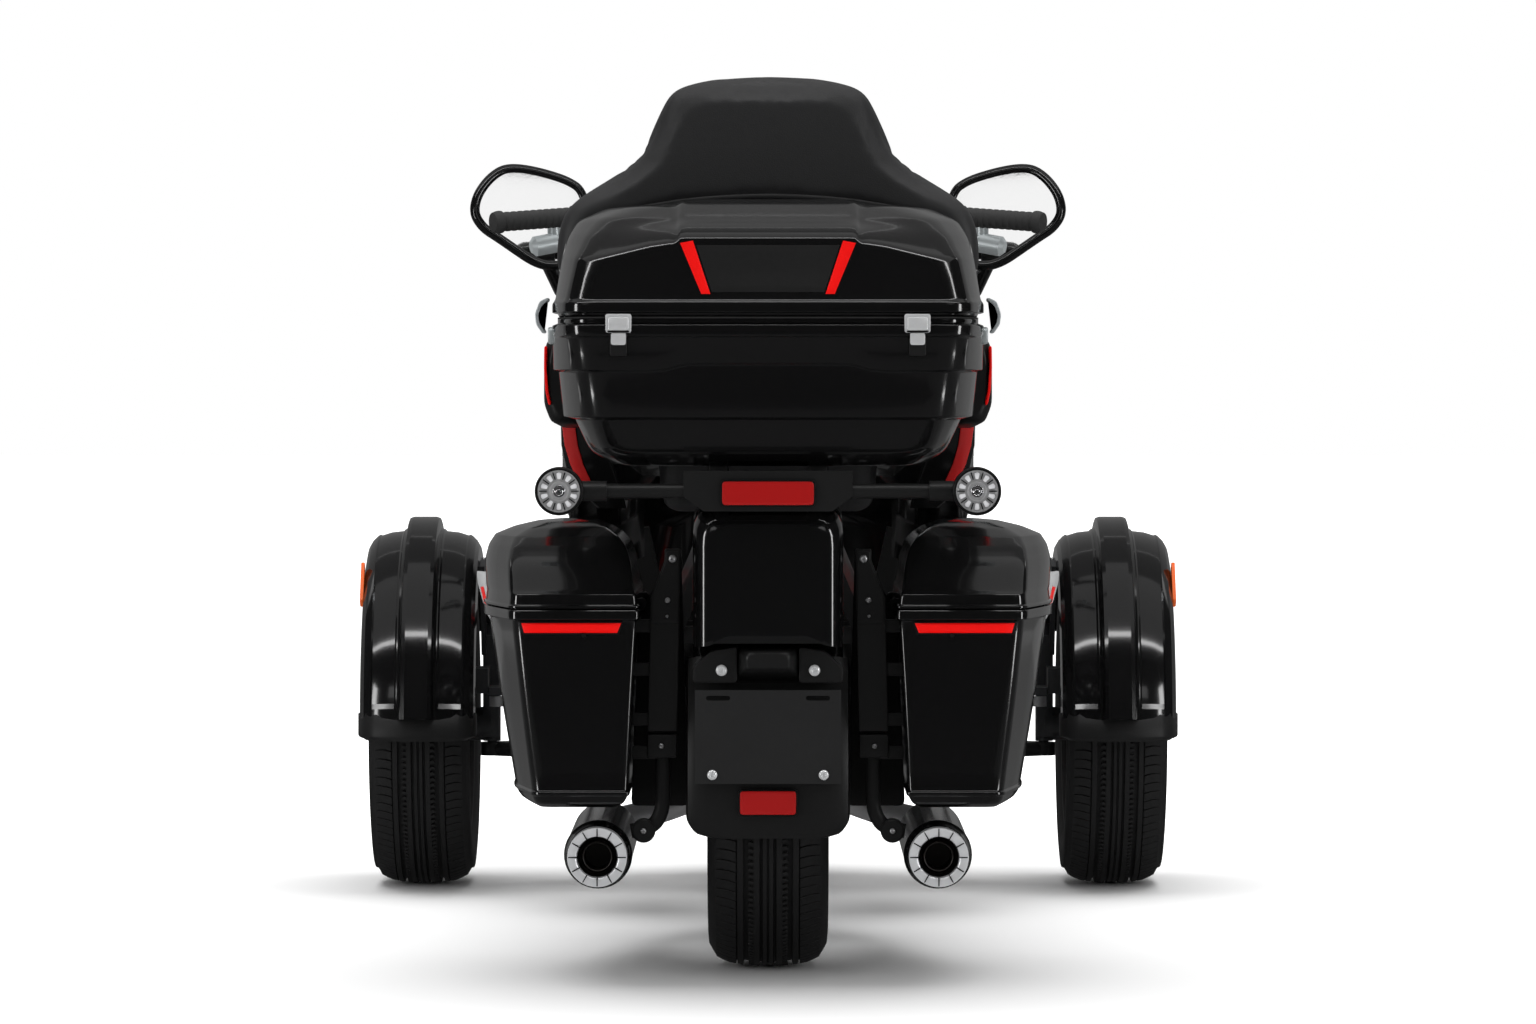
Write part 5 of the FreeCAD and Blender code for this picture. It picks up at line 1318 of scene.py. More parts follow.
@part("Top case")
def top_case():
    """Case with its ledges, lid with its crease and raised middle, strips and latches"""
    wall = settings("trike_case").wall
    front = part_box("backrest")[0].y - 0.0005
    base = loft(case_rings(CASE_BASE_ROWS, front, ledge_wave), last=False)
    walled(piece("top_case_shell", [base], "gloss_paint", ("case_base",)), wall)
    shape = loft(case_rings(CASE_LID_ROWS, front, lid_crown), first=False)
    lid = walled(piece("top_case_lid", [shape], "gloss_paint", ("case_lid",), "case_lid"), wall)
    rim = case_rings(CASE_BASE_ROWS[-1:] * 2, front)[0]
    seal = loft([rim, [(x, y, z + 0.0025) for x, y, z in rim]], first=False, last=False)
    walled(piece("top_case_seal", [seal], "grip_rubber"), 0.004)
    feet = [block((s * 0.074 - 0.014, CASE_BACK + 0.092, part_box("case_base")[0].z),
                  (s * 0.074 + 0.014, CASE_BACK + 0.422, CASE_SEAM - 0.219), 0.002)
            for s in (1, -1)]
    piece("top_case_feet", feet, "satin_plastic")
    hinge_y, hinge_z = JOINTS["case_lid_hinge"]["pos_m"][1:]
    lugs, knuckles = [], []
    for s in (1, -1):
        for y0, z1 in ((-0.013, -0.003), (-0.008, 0.006)):
            lugs.append(block((s * 0.126 - 0.008, hinge_y + y0, hinge_z - 0.02),
                              (s * 0.126 + 0.008, hinge_y + 0.006, hinge_z + z1), 0.002))
        lugs.append(bar((s * 0.118, hinge_y, hinge_z), (s * 0.16, hinge_y, hinge_z), 0.004))
        knuckles.append(bar((s * 0.14, hinge_y, hinge_z), (s * 0.154, hinge_y, hinge_z), 0.0088))
        knuckles.append(block((s * 0.147 - 0.007, hinge_y - 0.014, hinge_z + 0.004),
                              (s * 0.147 + 0.007, hinge_y, hinge_z + 0.02), 0.002))
    piece("case_hinge_lugs", lugs, "satin_plastic")
    piece("case_hinge_knuckles", knuckles, "satin_plastic", body="case_lid")

    on_lid = caster(lid, (0, 1, 0))
    seam = CASE_SEAM
    strip = [(0.111, seam + 0.1145), (0.13, seam + 0.111), (0.0985, seam + 0.0355),
             (0.085, seam + 0.0355)]
    piece("lid_strips", [both(patch(strip, on_lid, 0.0022, across=4, up=14))], "red_strip",
          body="case_lid")
    badge = [(-0.106, seam + 0.108), (0.106, seam + 0.108), (0.083, seam + 0.038),
             (-0.083, seam + 0.038)]
    piece("lid_blank_panel", [patch(badge, on_lid, 0.0012, across=16, up=12)], "satin_plastic",
          body="case_lid")

    plates, keepers, gaps = [], [], []
    for s in (1, -1):
        x = s * 0.2205
        y = CASE_BACK - 0.0004
        outline = eased([(x - 0.019, seam - 0.022), (x + 0.019, seam - 0.022),
                         (x + 0.0195, seam + 0.006), (x - 0.0195, seam + 0.006)], 0.004)
        plates.append(plate(outline, "XZ", y - 0.006, y, 0.0018))
        outline = rectangle(x - 0.0112, x + 0.0112, seam - 0.04, seam - 0.0215, 0.004)
        plates.append(plate(outline, "XZ", y - 0.0105, y - 0.001, 0.0018))
        plates.append(block((x - 0.015, y - 0.0112, seam - 0.019),
                            (x + 0.015, y - 0.004, seam + 0.001), 0.002))
        # near-black block between the plate and the hook: painted shade in the gap
        gaps.append(block((x - 0.016, y - 0.0118, seam - 0.0215),
                          (x + 0.016, y - 0.004, seam - 0.019), 0.0004, 1))
        outline = rectangle(x - 0.0125, x + 0.0125, seam - 0.056, seam - 0.03, 0.003)
        keepers.append(plate(outline, "XZ", y - 0.007, y + 0.016, 0.0015))
    # the latch plates' white is partly painted reflection
    piece("case_latch_plates", plates, "chrome_face", ("case_latches",))
    piece("case_latch_keepers", keepers, "satin_plastic")
    piece("case_latch_gaps", gaps, "dark_recess")
    # side latches over the seam: a bent blade, and the plate it hooks on
    side_parts = []
    blade = ((-0.0205, 0.033), (-0.007, 0.0265), (-0.0002, 0.0075), (-0.002, -0.008),
             (-0.012, -0.0225), (-0.0175, -0.02), (-0.0085, -0.006), (-0.0065, 0.006),
             (-0.012, 0.02), (-0.022, 0.0275))
    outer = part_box("case_latches")[1].x
    for s in (1, -1):
        outline = eased([(s * (outer + x), seam + z) for x, z in blade], 0.004, 3)
        side_parts.append(plate(outline, "XZ", CASE_BACK + 0.23, CASE_BACK + 0.28, 0.0015))
        low_x, high_x = sorted((s * (CASE_SIDE - 0.006), s * (CASE_SIDE + 0.006)))
        outline = rectangle(CASE_BACK + 0.225, CASE_BACK + 0.285, seam - 0.038, seam - 0.012, 0.008)
        side_parts.append(plate(outline, "YZ", low_x, high_x, 0.003))
    piece("case_side_latches", side_parts, "satin_chrome")


# columns: height over the lid's edge, inner x, outer x, inset of the rear, of the front, curve
BAG_ROWS = (
    (-0.299, 0.24, 0.35, 0.07, 0.1, 0.0), (-0.299, 0.228, 0.368, 0.034, 0.066, 0.008),
    (-0.2915, 0.215, 0.38, 0.011, 0.048, 0.008), (-0.281, 0.2095, 0.386, 0.005, 0.04, 0.0015),
    (-0.279, 0.2065, 0.389, 0.0, 0.036, 0.0008), (-0.2745, 0.2065, 0.389, 0.0, 0.036, 0.0008),
    (-0.2722, 0.2095, 0.387, 0.005, 0.04, 0.0015), (-0.135, 0.203, 0.4105, 0.005, 0.024, 0.06),
    (-0.0195, 0.196, 0.427, 0.005, 0.003, 0.0015),
    (-0.017, 0.1922, 0.4358, 0.0, 0.0, 0.001), (-0.003, 0.1922, 0.4358, 0.0, 0.0, 0.0))
BAG_LID_ROWS = (
    (0.0, 0.1922, 0.4358, 0.0, 0.0, 0.0), (0.003, 0.1922, 0.4358, 0.0, 0.0, 0.001),
    (0.0048, 0.1955, 0.4325, 0.0042, 0.003, 0.001), (0.02, 0.197, 0.4308, 0.006, 0.005, 0.0025),
    (0.0255, 0.2005, 0.4325, 0.015, 0.009, 0.004), (0.064, 0.205, 0.435, 0.056, 0.02, 0.02),
    (0.088, 0.213, 0.429, 0.1, 0.05, 0.012), (0.103, 0.225, 0.419, 0.14, 0.09, 0.006),
    (0.115, 0.242, 0.39, 0.185, 0.14, 0.016), (0.1235, 0.264, 0.354, 0.235, 0.19, 0.01),
    (0.1268, 0.29, 0.32, 0.29, 0.25, 0.0))


BAG_WIDTH = 0.244    # the width that the curves of a bag's plan are drawn for


def bag_rings(rows):
    profile = bent([row[:5] for row in rows], [row[5] for row in rows], 3, runs=(0.34, 0.67))
    rings = []
    for height, inner, outer, rear, front in profile:
        y0, y1 = BAG_BACK + rear, BAG_FRONT - front
        long = y1 - y0
        share = (outer - inner) / BAG_WIDTH
        outline = eased([(inner, y0), (outer - 0.052 * share, y0), (outer, y0 + long * 0.38),
                         (outer, y0 + long * 0.75), (outer - 0.04 * share, y1), (inner, y1)],
                        (0.008, 0.017, 0.16 * share, 0.09, 0.04, 0.02), 5, runs=(0.06, 0.5, 0.94))
        rings.append([(x, y, BAG_LID_EDGE + height) for x, y in outline])
    return rings


@part("Saddlebags")
def saddlebags():
    """Bags with their lower ridge and seam rims, lids, side latches and red strips"""
    wall = settings("trike_case").wall
    shell = loft(bag_rings(BAG_ROWS), last=False)
    cover = loft(bag_rings(BAG_LID_ROWS), first=False)
    edge = BAG_LID_EDGE
    for side, hand in SIDES:
        name, moving = f"saddlebag_{hand}", f"bag_lid_{hand}"
        bag = piece(f"{name}_shell", [sided(shell, side)], "gloss_paint", (name,))
        walled(bag, wall)
        lid = piece(f"{name}_lid", [sided(cover, side)], "gloss_paint", (moving,), moving)
        walled(lid, wall)
        on_bag = caster(bag, (0, 1, 0))
        # strip in its frame; columns: name, finish, lift, sink, faces up, corners
        for label, look, lift, sink, up, corners in (
                ("strip_frame", "lamp_shell", 0.0022, 0.003, 4,
                 ((0.216, -0.0205), (0.37, -0.0205), (0.365, -0.04), (0.2215, -0.04))),
                ("strip", "red_strip", 0.0048, 0.001, 6,
                 ((0.2185, -0.0225), (0.3672, -0.0225), (0.363, -0.037), (0.2245, -0.037)))):
            panel = patch([(side * u, edge + v) for u, v in corners], on_bag, lift, sink, 24, up)
            piece(f"{name}_{label}", [panel], look)
        # near-black disc for the lock: painted shade of its keyhole
        lock = bar((side * 0.274, BAG_BACK - 0.0005, edge - 0.0415),
                   (side * 0.274, BAG_BACK + 0.008, edge - 0.0415), 0.0032)
        piece(f"{name}_lock", [lock], "dark_recess")
        hinge = JOINTS[f"{moving}_hinge"]["pos_m"]
        pins, knuckles = [], []
        for y in (REAR_AXLE.y - 0.2, REAR_AXLE.y + 0.09):
            for kind, back, ahead, size in ((pins, 0.022, -0.001, 0.0088),
                                            (pins, 0.022, 0.022, 0.004),
                                            (knuckles, 0.0, 0.022, 0.0088)):
                kind.append(bar((hinge[0], y - back, hinge[2]), (hinge[0], y + ahead, hinge[2]),
                                size))
        piece(f"{name}_hinge_pins", pins, "satin_plastic")
        piece(f"{name}_hinge_knuckles", knuckles, "satin_plastic", body=moving)
        latch_low, latch_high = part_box(f"bag_latch_{hand}")
        y = (latch_low.y + latch_high.y) / 2
        # latch blade, nearer the side at its rear; columns: gap out to the box's face at the
        # front edge, at the rear edge, height, half length
        out = max(abs(latch_low.x), abs(latch_high.x))
        rings = []
        for front, rear, z, reach in ((0.023, 0.026, -0.034, 0.012), (0.017, 0.024, -0.025, 0.022),
                                      (0.008, 0.021, 0.0, 0.032), (0.0014, 0.017, 0.024, 0.036),
                                      (0.0, 0.016, 0.037, 0.034), (0.0008, 0.016, 0.0425, 0.024)):
            outline = eased([(out - rear - 0.004, y - reach), (out - rear, y - reach),
                             (out - front, y + reach), (out - front - 0.005, y + reach)], 0.0015, 2)
            rings.append([(side * u, v, edge + z) for u, v in outline])
        # the blade's white is partly painted reflection
        blade = piece(f"{name}_latch", [loft(rings)], "chrome_face", (f"bag_latch_{hand}",), moving)
        on_blade = caster(blade, (0, 1, 0))
        inset = [(side * (out - 0.02), edge - 0.01), (side * (out - 0.013), edge - 0.011),
                 (side * (out - 0.0065), edge + 0.018), (side * (out - 0.0125), edge + 0.02)]
        piece(f"{name}_latch_inset", [patch(inset, on_blade, 0.0014, 0.0006, 3, 8)],
              "red_strip", body=moving)


# ------------ soft parts
def stuffed(name, shape, body, stands_for, swell, voxel=0.006, pressure=4.0, rounding=10):
    """Cushion from a plain closed shape: remeshed, its edges worn round, then blown up as
    cloth, each point held within swell of its place."""
    raw = object_of(name + "_raw", shape)
    remesh = raw.modifiers.new("even", "REMESH")
    remesh.mode = "VOXEL"
    remesh.voxel_size = voxel
    mesh = evaluated_mesh(raw)
    bpy.data.objects.remove(raw)
    bm = bmesh.new()
    bm.from_mesh(mesh)
    for _ in range(rounding):
        bmesh.ops.smooth_vert(bm, verts=bm.verts, factor=0.5, use_axis_x=True, use_axis_y=True,
                              use_axis_z=True)
    bm.to_mesh(mesh)
    bm.free()
    mesh.name = name
    cushion = linked(name, mesh)
    start = np.array([v.co for v in mesh.vertices])
    cloth = cushion.modifiers.new("stuffing", "CLOTH")
    cloth.settings.quality = 4
    cloth.settings.use_pressure = True
    cloth.settings.uniform_pressure_force = pressure
    cloth.settings.effector_weights.gravity = 0.0
    cloth.settings.tension_stiffness = 40
    cloth.settings.compression_stiffness = 40
    frames = 14
    cloth.point_cache.frame_end = frames
    scene = bpy.context.scene
    for number in range(1, frames + 1):
        scene.frame_set(number)
    blown = evaluated_mesh(cushion)
    moved = np.array([v.co for v in blown.vertices]) - start
    size = np.linalg.norm(moved, axis=1, keepdims=True)
    moved *= np.minimum(1.0, swell / np.maximum(size, 1e-9))
    cushion.modifiers.clear()
    mesh.vertices.foreach_set("co", (start + moved).ravel())
    mesh.update()
    bpy.data.meshes.remove(blown)
    scene.frame_set(1)
    fitted(cushion, "vinyl", body, stands_for, sharp=180)
    smooth = cushion.modifiers.new("smooth", "SUBSURF")
    smooth.levels = 1
    smooth.render_levels = 1
    return cushion


@part("Backrest")
def backrest():
    """Passenger backrest: a padded back whose wings run down beside the lid"""
    low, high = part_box("backrest")
    right = [(0.0, 1.3745), (0.06, 1.3735), (0.114, 1.3702), (0.154, 1.357),
             (0.172, 1.318), (0.183, 1.286), (0.201, 1.256), (0.229, 1.23),
             (0.262, 1.208), (0.301, 1.186), (0.323, 1.16), (0.332, 1.122),
             (0.333, 1.064), (0.3, 1.056), (0.276, 1.098), (0.245, 1.133),
             (0.15, 1.156), (0.0, 1.164)]
    outline = symmetric(bent(right, 0.02, 3))
    deep = high.y - low.y
    # columns: share of the depth, how far the outline is drawn in
    rows = ((0.02, 0.02), (0.1, 0.008), (0.25, 0.002), (0.75, 0.002), (0.9, 0.008), (0.98, 0.02))
    body = stacked((low.y + deep * share, grown(outline, -drawn)) for share, drawn in rows)
    cushion = stuffed("backrest_cushion", body, "case_lid", ("backrest",), 0.006)
    on_back = caster(cushion, (0, 1, 0))
    welt = bent([(-0.27, 1.156), (-0.235, 1.164), (-0.12, 1.184), (0.0, 1.19), (0.12, 1.184),
                 (0.235, 1.164), (0.27, 1.156)], 0.05, 5, runs=(0.5,))
    path = [on_back(x, z, 0.0004) for x, z in welt]
    piece("backrest_welt", [tube(path, 0.0042, 10)], "vinyl", body="case_lid")
    stitch = block((-0.0018, -0.0005, -0.0004), (0.0018, 0.0005, 0.0005), 0.0003, 1)
    shifted = [[on_back(x, z - 0.01, 0.0004) for x, z in welt]]
    long = sum((Vector(a) - Vector(b)).length for a, b in zip(path, path[1:]))
    count = int(long / settings("trike_small").stitch)
    path_copies("backrest_stitches", stitch, shifted, count, (0, -1, 0), "thread", "case_lid")


@part("Seat")
def seat():
    """Rider's and passenger's cushions in one cover, with sewn seams"""
    y0 = REAR_AXLE.y
    # columns: y from the rear axle, half width, bottom, top
    rows = ((0.172, 0.13, 0.8, 0.868), (0.185, 0.146, 0.797, 0.876), (0.3, 0.158, 0.797, 0.8785),
            (0.4, 0.168, 0.797, 0.8785), (0.495, 0.172, 0.693, 0.872), (0.535, 0.172, 0.693, 0.82),
            (0.58, 0.172, 0.693, 0.782), (0.7, 0.17, 0.693, 0.768), (0.8, 0.16, 0.693, 0.772),
            (0.88, 0.128, 0.693, 0.782), (0.932, 0.092, 0.695, 0.786))
    corners = (0.02, 0.02, 0.035, 0.035)
    body = stacked((y0 + y, rectangle(-half, half, bottom, top, corners, 4))
                   for y, half, bottom, top in rows)
    cushion = stuffed("seat_cushion", body, "chassis", ("seat",), 0.003, rounding=5)
    on_seat = caster(cushion, (0, 0, -1))
    paths = []
    for y in (0.25, 0.34, 0.43, 0.62, 0.7, 0.78):
        path = []
        for k in range(-8, 9):
            x = 0.125 * k / 8
            path.append(on_seat(x, y0 + y + 0.018 * (1 - (k / 8) ** 2), 0.0006))
        paths.append(path)
    piece("seat_seams", [tube(path, 0.0022, 8) for path in paths], "vinyl")
    stitch = block((-0.0018, -0.0005, -0.0004), (0.0018, 0.0005, 0.0005), 0.0003, 1)
    shifted = [[(x, y + 0.006, z + 0.0002) for x, y, z in path] for path in paths]
    path_copies("seat_stitches", stitch, shifted, 36, (0, 0, 1), "thread")


# ------------ body
@part("Body panels")
def body_panels():
    """Side and tank covers, pods beside the passenger, red stripes"""
    softened("body_covers", "bodywork", "gloss_paint", 0.01)
    low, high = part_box("pods")
    sections = []
    # columns: y, inner x, outer x, bottom, top
    for y, x0, x1, z0, z1 in (
            (low.y, 0.302, 0.336, 0.846, 0.956), (low.y + 0.006, 0.298, 0.343, 0.84, 0.964),
            (low.y + 0.02, 0.296, 0.3465, 0.836, 0.9695), (low.y + 0.18, 0.252, 0.338, 0.828, 0.96),
            (high.y - 0.01, 0.242, 0.302, 0.848, 0.932), (high.y, 0.25, 0.29, 0.856, 0.924)):
        sections.append((y, eased([(x0, z0), (x1 - 0.012, z0), (x1, z0 + 0.03), (x1, z1 - 0.02),
                                   (x1 - 0.008, z1), (x0, z1)], 0.01)))
    piece("passenger_pods", [both(stacked(sections))], "satin_plastic", ("pods",))
    strip = plate(eased([(0.3345, 0.865), (0.3385, 0.888), (0.341, 0.922), (0.3408, 0.956),
                         (0.3455, 0.956), (0.346, 0.922), (0.344, 0.888), (0.339, 0.865)], 0.004),
                  "XZ", low.y - 0.003, low.y + 0.008, 0.0012)
    piece("pod_strips", [both(strip)], "red_strip")
    # tail side panels beside the case's foot; columns: z, outer x, inner x
    lean, foot = 0.1, REAR_AXLE.y + 0.292
    panels, stripes = [], []
    for z, x1, x0 in ((0.845, 0.3285, 0.27), (0.8, 0.3275, 0.256), (0.764, 0.32, 0.244),
                      (0.722, 0.294, 0.23), (0.7, 0.27, 0.224)):
        y = foot - (z - 0.7) * lean
        panels.append((z, eased([(x0, y - 0.012), (x1, y - 0.004), (x1, y + 0.04), (x0, y + 0.045)],
                                0.006)))
    piece("tail_side_panels", [both(stacked(panels, "XY"))], "gloss_paint")
    for z, x in ((0.838, 0.327), (0.8, 0.322), (0.77, 0.3135), (0.742, 0.301)):
        y = foot - (z - 0.7) * lean - 0.0085
        stripes.append((z, eased([(x - 0.021, y - 0.004), (x, y - 0.002), (x, y + 0.006),
                                  (x - 0.021, y + 0.006)], 0.002, 2)))
    piece("tail_stripes", [both(stacked(stripes, "XY"))], "stripe_paint")


@part("Fairing")
def fairing():
    """Front fairing with its grille, windscreen, headlamps and instruments"""
    softened("fairing_shell", "front_fairing", "gloss_paint", 0.01)
    softened("windscreen_sheet", "windscreen", "tinted_screen", 0.0)
    softened("headlamp_glass", "headlamps", "clear_lens", 0.003)
    slat = block((-0.002, -0.105, -0.0012), (0.002, 0.105, 0.0012), 0.0006, 1)
    path_copies("grille_slats", placed(slat, Matrix.Rotation(0.5, 4, "Y")),
                [[(0, REAR_AXLE.y + 2.0985, 0.46), (0, REAR_AXLE.y + 2.0985, 0.575)]], 9, (0, 1, 0),
                "satin_plastic")


@part("Handlebar")
def handlebar():
    """Bar, ribbed grips with flanged ends, switch housings"""
    softened("bar_and_column", "handlebar", "frame_paint", 0.001, "handlebar")
    y0, z0 = JOINTS["steering"]["pos_m"][1:]
    inner = Vector((0.33, y0 - 0.108, z0 + 0.065))
    end = Vector((0.472, y0 - 0.18, z0 + 0.053))
    along = (end - inner).normalized()
    span = (end - inner).length
    profile = [(0.008, 0.0115), (0.008, 0.019), (0.011, 0.0195), (0.013, 0.0162)]
    ribs = 10
    pitch = (span - 0.034) / ribs
    for k in range(ribs):
        at = 0.016 + (span - 0.034) * k / ribs
        profile += [(at, 0.016), (at + pitch * 0.25, 0.017), (at + pitch * 0.7, 0.017),
                    (at + pitch * 0.95, 0.016)]
    profile += [(span - 0.016, 0.0162), (span - 0.014, 0.0192), (span - 0.01, 0.0198),
                (span - 0.004, 0.0192), (span + 0.003, 0.017), (span + 0.004, 0.0001)]
    profile = bent(profile, 0.0012, 2)
    piece("bar_grips", [both(turned(profile, inner, along, 32))], "grip_rubber", ("grips",),
          "handlebar")
    start = Vector((0.25, y0 - 0.066, z0 + 0.067))
    direction = (inner - start).normalized()
    long = (inner - start).length
    profile = bent([(0.016, 0.0115), (0.016, 0.02), (0.024, 0.0245), (long - 0.018, 0.0245),
                    (long - 0.008, 0.02), (long - 0.006, 0.0115)], 0.004, 3)
    housing = turned(profile, start, direction, 28)
    button = block((-0.007, -0.0275, -0.006), (0.007, -0.02, 0.006), 0.0015)
    button = placed(button, Matrix.Translation(start + direction * 0.045))
    second = placed(block((-0.005, -0.0265, -0.0155), (0.005, -0.018, -0.0095), 0.0015),
                    Matrix.Translation(start + direction * 0.058))
    piece("switch_housings", [both(housing), both(second), mirrored(button)], "satin_plastic",
          ("switchgear",), "handlebar")
    piece("stop_switch", [button], "red_strip", body="handlebar")
    lever_path = bent([start + direction * 0.02 + Vector((0, 0.03, 0.004)), start + direction * 0.05
                       + Vector((0.0, 0.062, 0.0)), inner + along * 0.06
                       + Vector((0.0, 0.062, -0.004)), inner + along * 0.128
                       + Vector((0.0, 0.046, -0.006))], 0.03, 6)
    piece("brake_levers", [both(tube(lever_path, 0.0062, 12))], "satin_plastic", body="handlebar")
    pump = [bar((0.362, y0 - 0.062, z0 + 0.022), (0.412, y0 - 0.08, z0 + 0.012), 0.0175, 0.007),
            bar((0.372, y0 - 0.064, z0 + 0.022), (0.372, y0 - 0.064, z0 + 0.054), 0.012, 0.003)]
    piece("lever_pumps", [both(joined(pump))], "satin_chrome", body="handlebar")


# middle line of the right mirror's rim as (x, z), and the rim's half width
MIRROR_LOOP = ((0.519, 1.205), (0.512, 1.23), (0.494, 1.255), (0.472, 1.272),
               (0.45, 1.2755), (0.421, 1.272), (0.388, 1.264), (0.355, 1.253),
               (0.33, 1.236), (0.318, 1.18), (0.33, 1.11), (0.382, 1.103),
               (0.4, 1.105), (0.421, 1.114), (0.45, 1.134), (0.479, 1.154),
               (0.501, 1.168), (0.5155, 1.187))
MIRROR_RIM = 0.0088


@part("Mirrors")
def mirrors():
    """Mirrors in rounded rims on their arms, and their glass"""
    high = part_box("mirrors")[1]
    on_face = caster(NODES["mirror_glass"], (0, 1, 0))
    # the glass lies in a plane: y at its middle, and how y changes with x and z
    at = on_face(0.43, 1.2, 0.0)
    slope_x = (on_face(0.45, 1.2, 0.0)[1] - at[1]) / 0.02
    slope_z = (on_face(0.43, 1.22, 0.0)[1] - at[1]) / 0.02

    def on_plane(x, z, out=0.0):
        return x, at[1] + (x - at[0]) * slope_x + (z - at[2]) * slope_z - out, z

    loop = eased(MIRROR_LOOP, 0.04, 6)
    reach = max(x for x, _ in loop) + MIRROR_RIM
    loop = [(min(x, x - (reach - high.x + 0.0005) * step(0.44, 0.52, x)), z) for x, z in loop]
    path = [on_plane(x, z, -0.004) for x, z in loop]
    rim = tube(path + path[:1], MIRROR_RIM, 12)
    glass = loft([[on_plane(x, z, out) for x, z in loop] for out in (0.0005, -0.0035)])
    back = loft([[on_plane(0.425 + (x - 0.425) * k, 1.175 + (z - 1.175) * k, out)
                  for x, z in loop] for k, out in ((1.0, -0.002), (0.97, -0.018), (0.8, -0.028))])
    arm = tube([on_plane(0.39, 1.108, -0.012), (0.368, at[1] + 0.05, 1.06),
                (0.33, at[1] + 0.1, 1.01), (0.3, at[1] + 0.13, 0.985)], 0.013, 12)
    piece("mirror_rims", [both(rim), both(back), both(arm)], "gloss_paint", ("mirrors",))
    piece("mirror_faces", [both(glass)], "mirror_face", ("mirror_glass",))


# ------------ stage
WHITE = (1.0, 1.0, 1.0, 1.0)


def material_nodes(name):
    material = bpy.data.materials.new(name)
    material.use_nodes = True
    return material, material.node_tree


def seen_ray(tree):
    """1 for what the camera, a reflection or a clear piece looks at directly, else 0."""
    path = node_of(tree, "ShaderNodeLightPath")
    some = maths(tree, "MAXIMUM", path.outputs["Is Camera Ray"], path.outputs["Is Glossy Ray"])
    return maths(tree, "MAXIMUM", some, path.outputs["Is Transmission Ray"])


def area_light(name, place, target, size, power):
    light = bpy.data.lights.new(name, "AREA")
    light.shape = "RECTANGLE"
    light.size, light.size_y = size
    light.energy = power
    lamp = linked(name, light)
    lamp.location = place
    lamp.rotation_euler = (Vector(target) - Vector(place)).to_track_quat("-Z", "Y").to_euler()
    return lamp


def sheet(name, low, high, material):
    """Flat stage piece between two opposite corners, which differ along two axes."""
    (x0, y0, z0), (x1, y1, z1) = low, high
    mesh = bpy.data.meshes.new(name)
    mesh.from_pydata([low, (x1, y0 if x0 != x1 else y1, z0), high,
                      (x0, y1 if z0 == z1 else y0, z1)], [], [(0, 1, 2, 3)])
    mesh.materials.append(material)
    made = linked(name, mesh)
    return made


def card(name, brightness, low, high):
    """Dark or glowing sheet that only reflections see."""
    material, tree = material_nodes(name)
    shader = tree.nodes["Principled BSDF"]
    filled(shader, {"Base Color": (0.01, 0.01, 0.01, 1.0), "Roughness": 1.0,
                    "Emission Color": WHITE, "Emission Strength": brightness})
    made = sheet(name, low, high, material)
    made.visible_camera = False
    made.visible_diffuse = False
    made.visible_shadow = False
    made.visible_transmission = False


def floor_material():
    """Pale floor that turns to the backdrop's white a few metres out."""
    material, tree = material_nodes("floor_pale")
    shader = tree.nodes["Principled BSDF"]
    filled(shader, {"Base Color": (0.84, 0.84, 0.84, 1.0), "Roughness": 0.9,
                    "Specular IOR Level": 0.1, "Emission Color": WHITE})
    place = node_of(tree, "ShaderNodeTexCoord").outputs["Object"]
    far = node_of(tree, "ShaderNodeVectorMath", operation="LENGTH")
    tree.links.new(place, far.inputs[0])
    ramp = node_of(tree, "ShaderNodeMapRange", interpolation_type="SMOOTHSTEP")
    tree.links.new(far.outputs["Value"], ramp.inputs["Value"])
    filled(ramp, {"From Min": 1.35, "From Max": 3.6, "To Min": 0.0, "To Max": 1.0})
    path = node_of(tree, "ShaderNodeLightPath")
    strength = maths(tree, "MULTIPLY", ramp.outputs[0], path.outputs["Is Camera Ray"])
    tree.links.new(strength, shader.inputs["Emission Strength"])
    return material


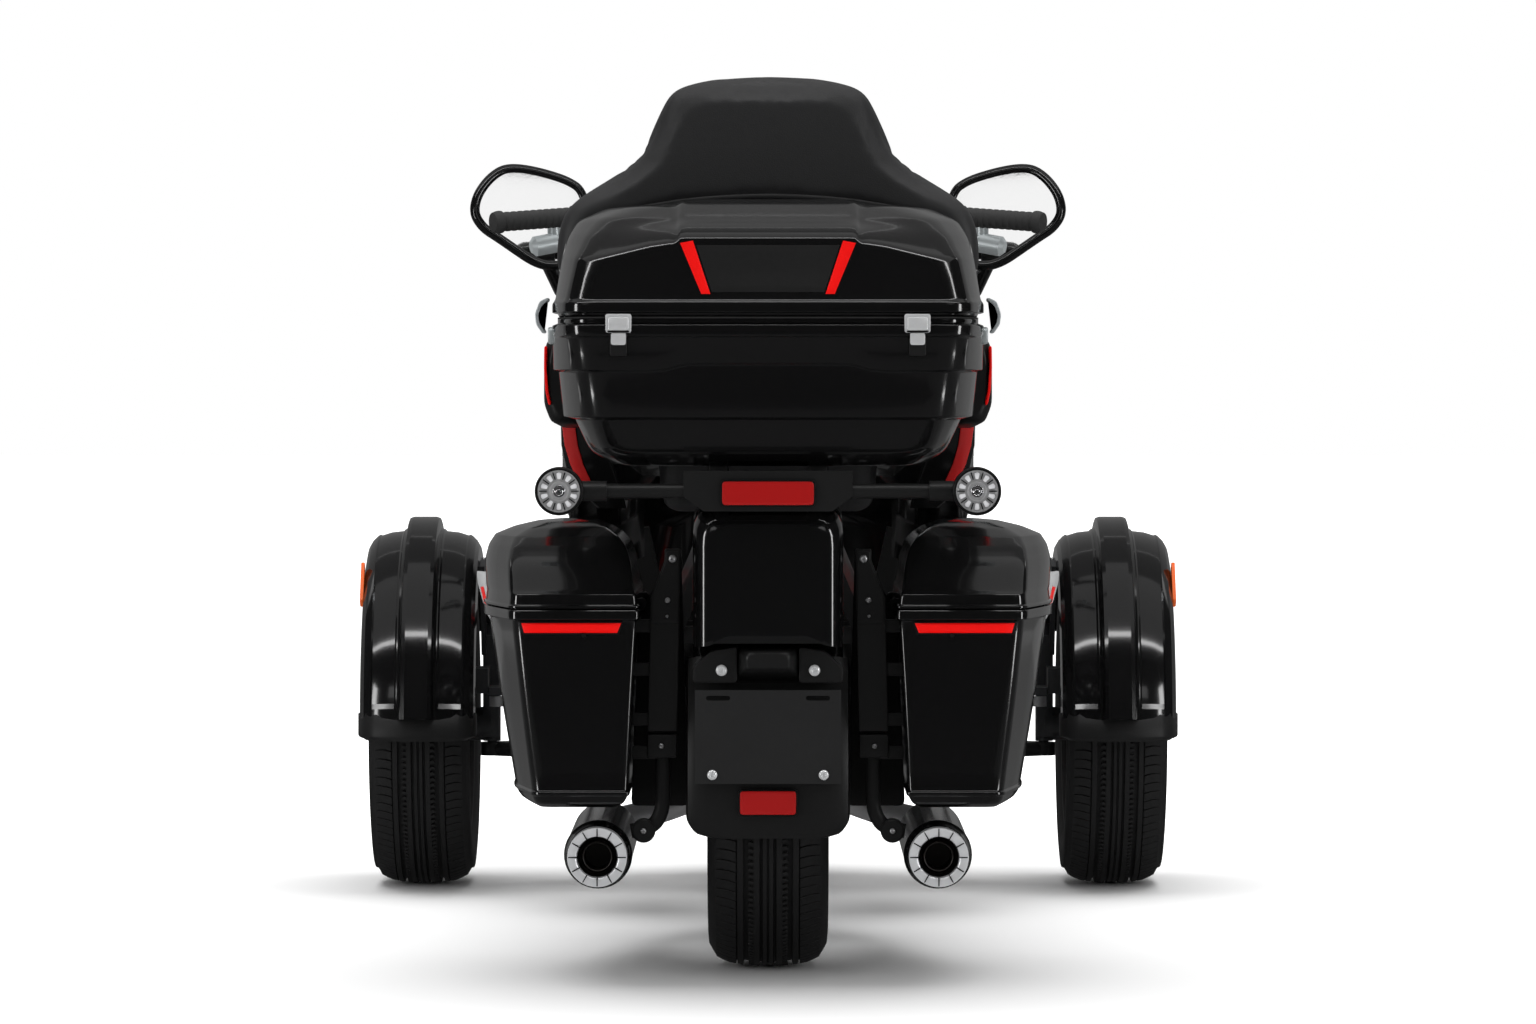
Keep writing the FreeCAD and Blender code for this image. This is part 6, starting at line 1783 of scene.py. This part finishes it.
@part("Stage")
def stage():
    """Pale floor, white surroundings, soft lights and the camera"""
    setup = settings("trike_stage")
    scene = bpy.context.scene
    far = 60.0
    sheet("floor", (-far, -far, 0), (far, far, 0), floor_material())
    # the cards stand round the trike, with a gap on either side that the mirrors look through
    behind, ahead = REAR_AXLE.y - 4.5, FRONT_AXLE.y + 4.2
    wide, tall, gap_low, gap_high, gap_in, gap_out = 5.2, 5.7, 2.3, 3.15, 1.65, 3.05
    foot, side_front, roof_back, roof_split, roof_front = 0.002, 3.0, REAR_AXLE.y - 2.6, 1.9, 5.0
    strip_back, strip_x, strip_wide = REAR_AXLE.y - 2.5, 3.3, 0.7
    for label, x0, x1, z0, z1 in (("low", -wide, wide, foot, gap_low),
                                  ("middle", -gap_in, gap_in, gap_low, gap_high),
                                  ("right", gap_out, wide, gap_low, gap_high),
                                  ("left", -wide, -gap_out, gap_low, gap_high),
                                  ("top", -wide, wide, gap_high, tall)):
        card(f"card_behind_{label}", 0.0, (x0, behind, z0), (x1, behind, z1))
    for side, hand in SIDES:
        card(f"card_{hand}", 0.0, (side * wide, behind, foot), (side * wide, side_front, tall))
        card(f"strip_{hand}", setup.strips, (side * strip_x, strip_back, 0.01),
             (side * strip_x, strip_back + strip_wide, 2.2))
    card("card_floor", 0.07, (-wide, behind, 0.004), (wide, ahead, 0.004))
    line_front, line_height = roof_back + 0.45, tall - 0.2
    for label, brightness, y0, y1, z in (
            ("over", 0.4, roof_back, roof_split, tall),
            ("over_front", 0.1, roof_split, roof_front, tall),
            ("rear", 0.0, behind, roof_back, tall),
            ("line", setup.strips, roof_back, line_front, line_height)):
        card(f"card_{label}", brightness, (-wide, y0, z), (wide, y1, z))
    card("card_ahead", 0.16, (-9.0, ahead, foot), (9.0, ahead, tall))
    over = area_light("light_over", (0, 1.0, 5.5), (0, 0, 0), (7.0, 6.0), 450)
    over.visible_glossy = False
    world = bpy.data.worlds.new("surroundings")
    world.use_nodes = True
    tree = world.node_tree
    background = tree.nodes["Background"]
    background.inputs["Color"].default_value = WHITE
    strength = maths(tree, "MULTIPLY_ADD", seen_ray(tree), 1.0 - setup.ambient, setup.ambient)
    tree.links.new(strength, background.inputs["Strength"])
    scene.world = world
    camera = bpy.data.cameras.new("camera")
    camera.sensor_width = 36.0
    camera.lens = setup.lens
    camera.clip_end = 200.0
    eye = linked("camera", camera)
    eye.location = (0, REAR_AXLE.y - setup.distance, setup.height)
    eye.rotation_euler = (math.pi / 2 - setup.pitch, 0, 0)
    scene.camera = eye
    scene.view_settings.view_transform = "Standard"


class TRIKE_PT_parts(bpy.types.Panel):
    """Lists the trike's parts and their settings"""
    bl_label = "Trike"
    bl_idname = "TRIKE_PT_parts"
    bl_space_type = "VIEW_3D"
    bl_region_type = "UI"
    bl_category = "Trike"

    def draw(self, context):
        for name, group in GROUPS.items():
            box = self.layout.box()
            for key in group.__annotations__:
                box.prop(getattr(context.scene, name), key)
        for made in PARTS:
            self.layout.operator(made.bl_idname)


def register():
    for group in GROUPS.values():
        bpy.utils.register_class(group)
    for name, group in GROUPS.items():
        setattr(bpy.types.Scene, name, PointerProperty(type=group))
    for made in (*PARTS, TRIKE_PT_parts):
        bpy.utils.register_class(made)


def unregister():
    for made in (TRIKE_PT_parts, *reversed(PARTS)):
        bpy.utils.unregister_class(made)
    for name in GROUPS:
        delattr(bpy.types.Scene, name)
    for group in reversed(GROUPS.values()):
        bpy.utils.unregister_class(group)


def main():
    register()
    for made in PARTS:
        family, name = made.bl_idname.split(".")
        getattr(getattr(bpy.ops, family), name)()


if __name__ == "__main__":
    main()
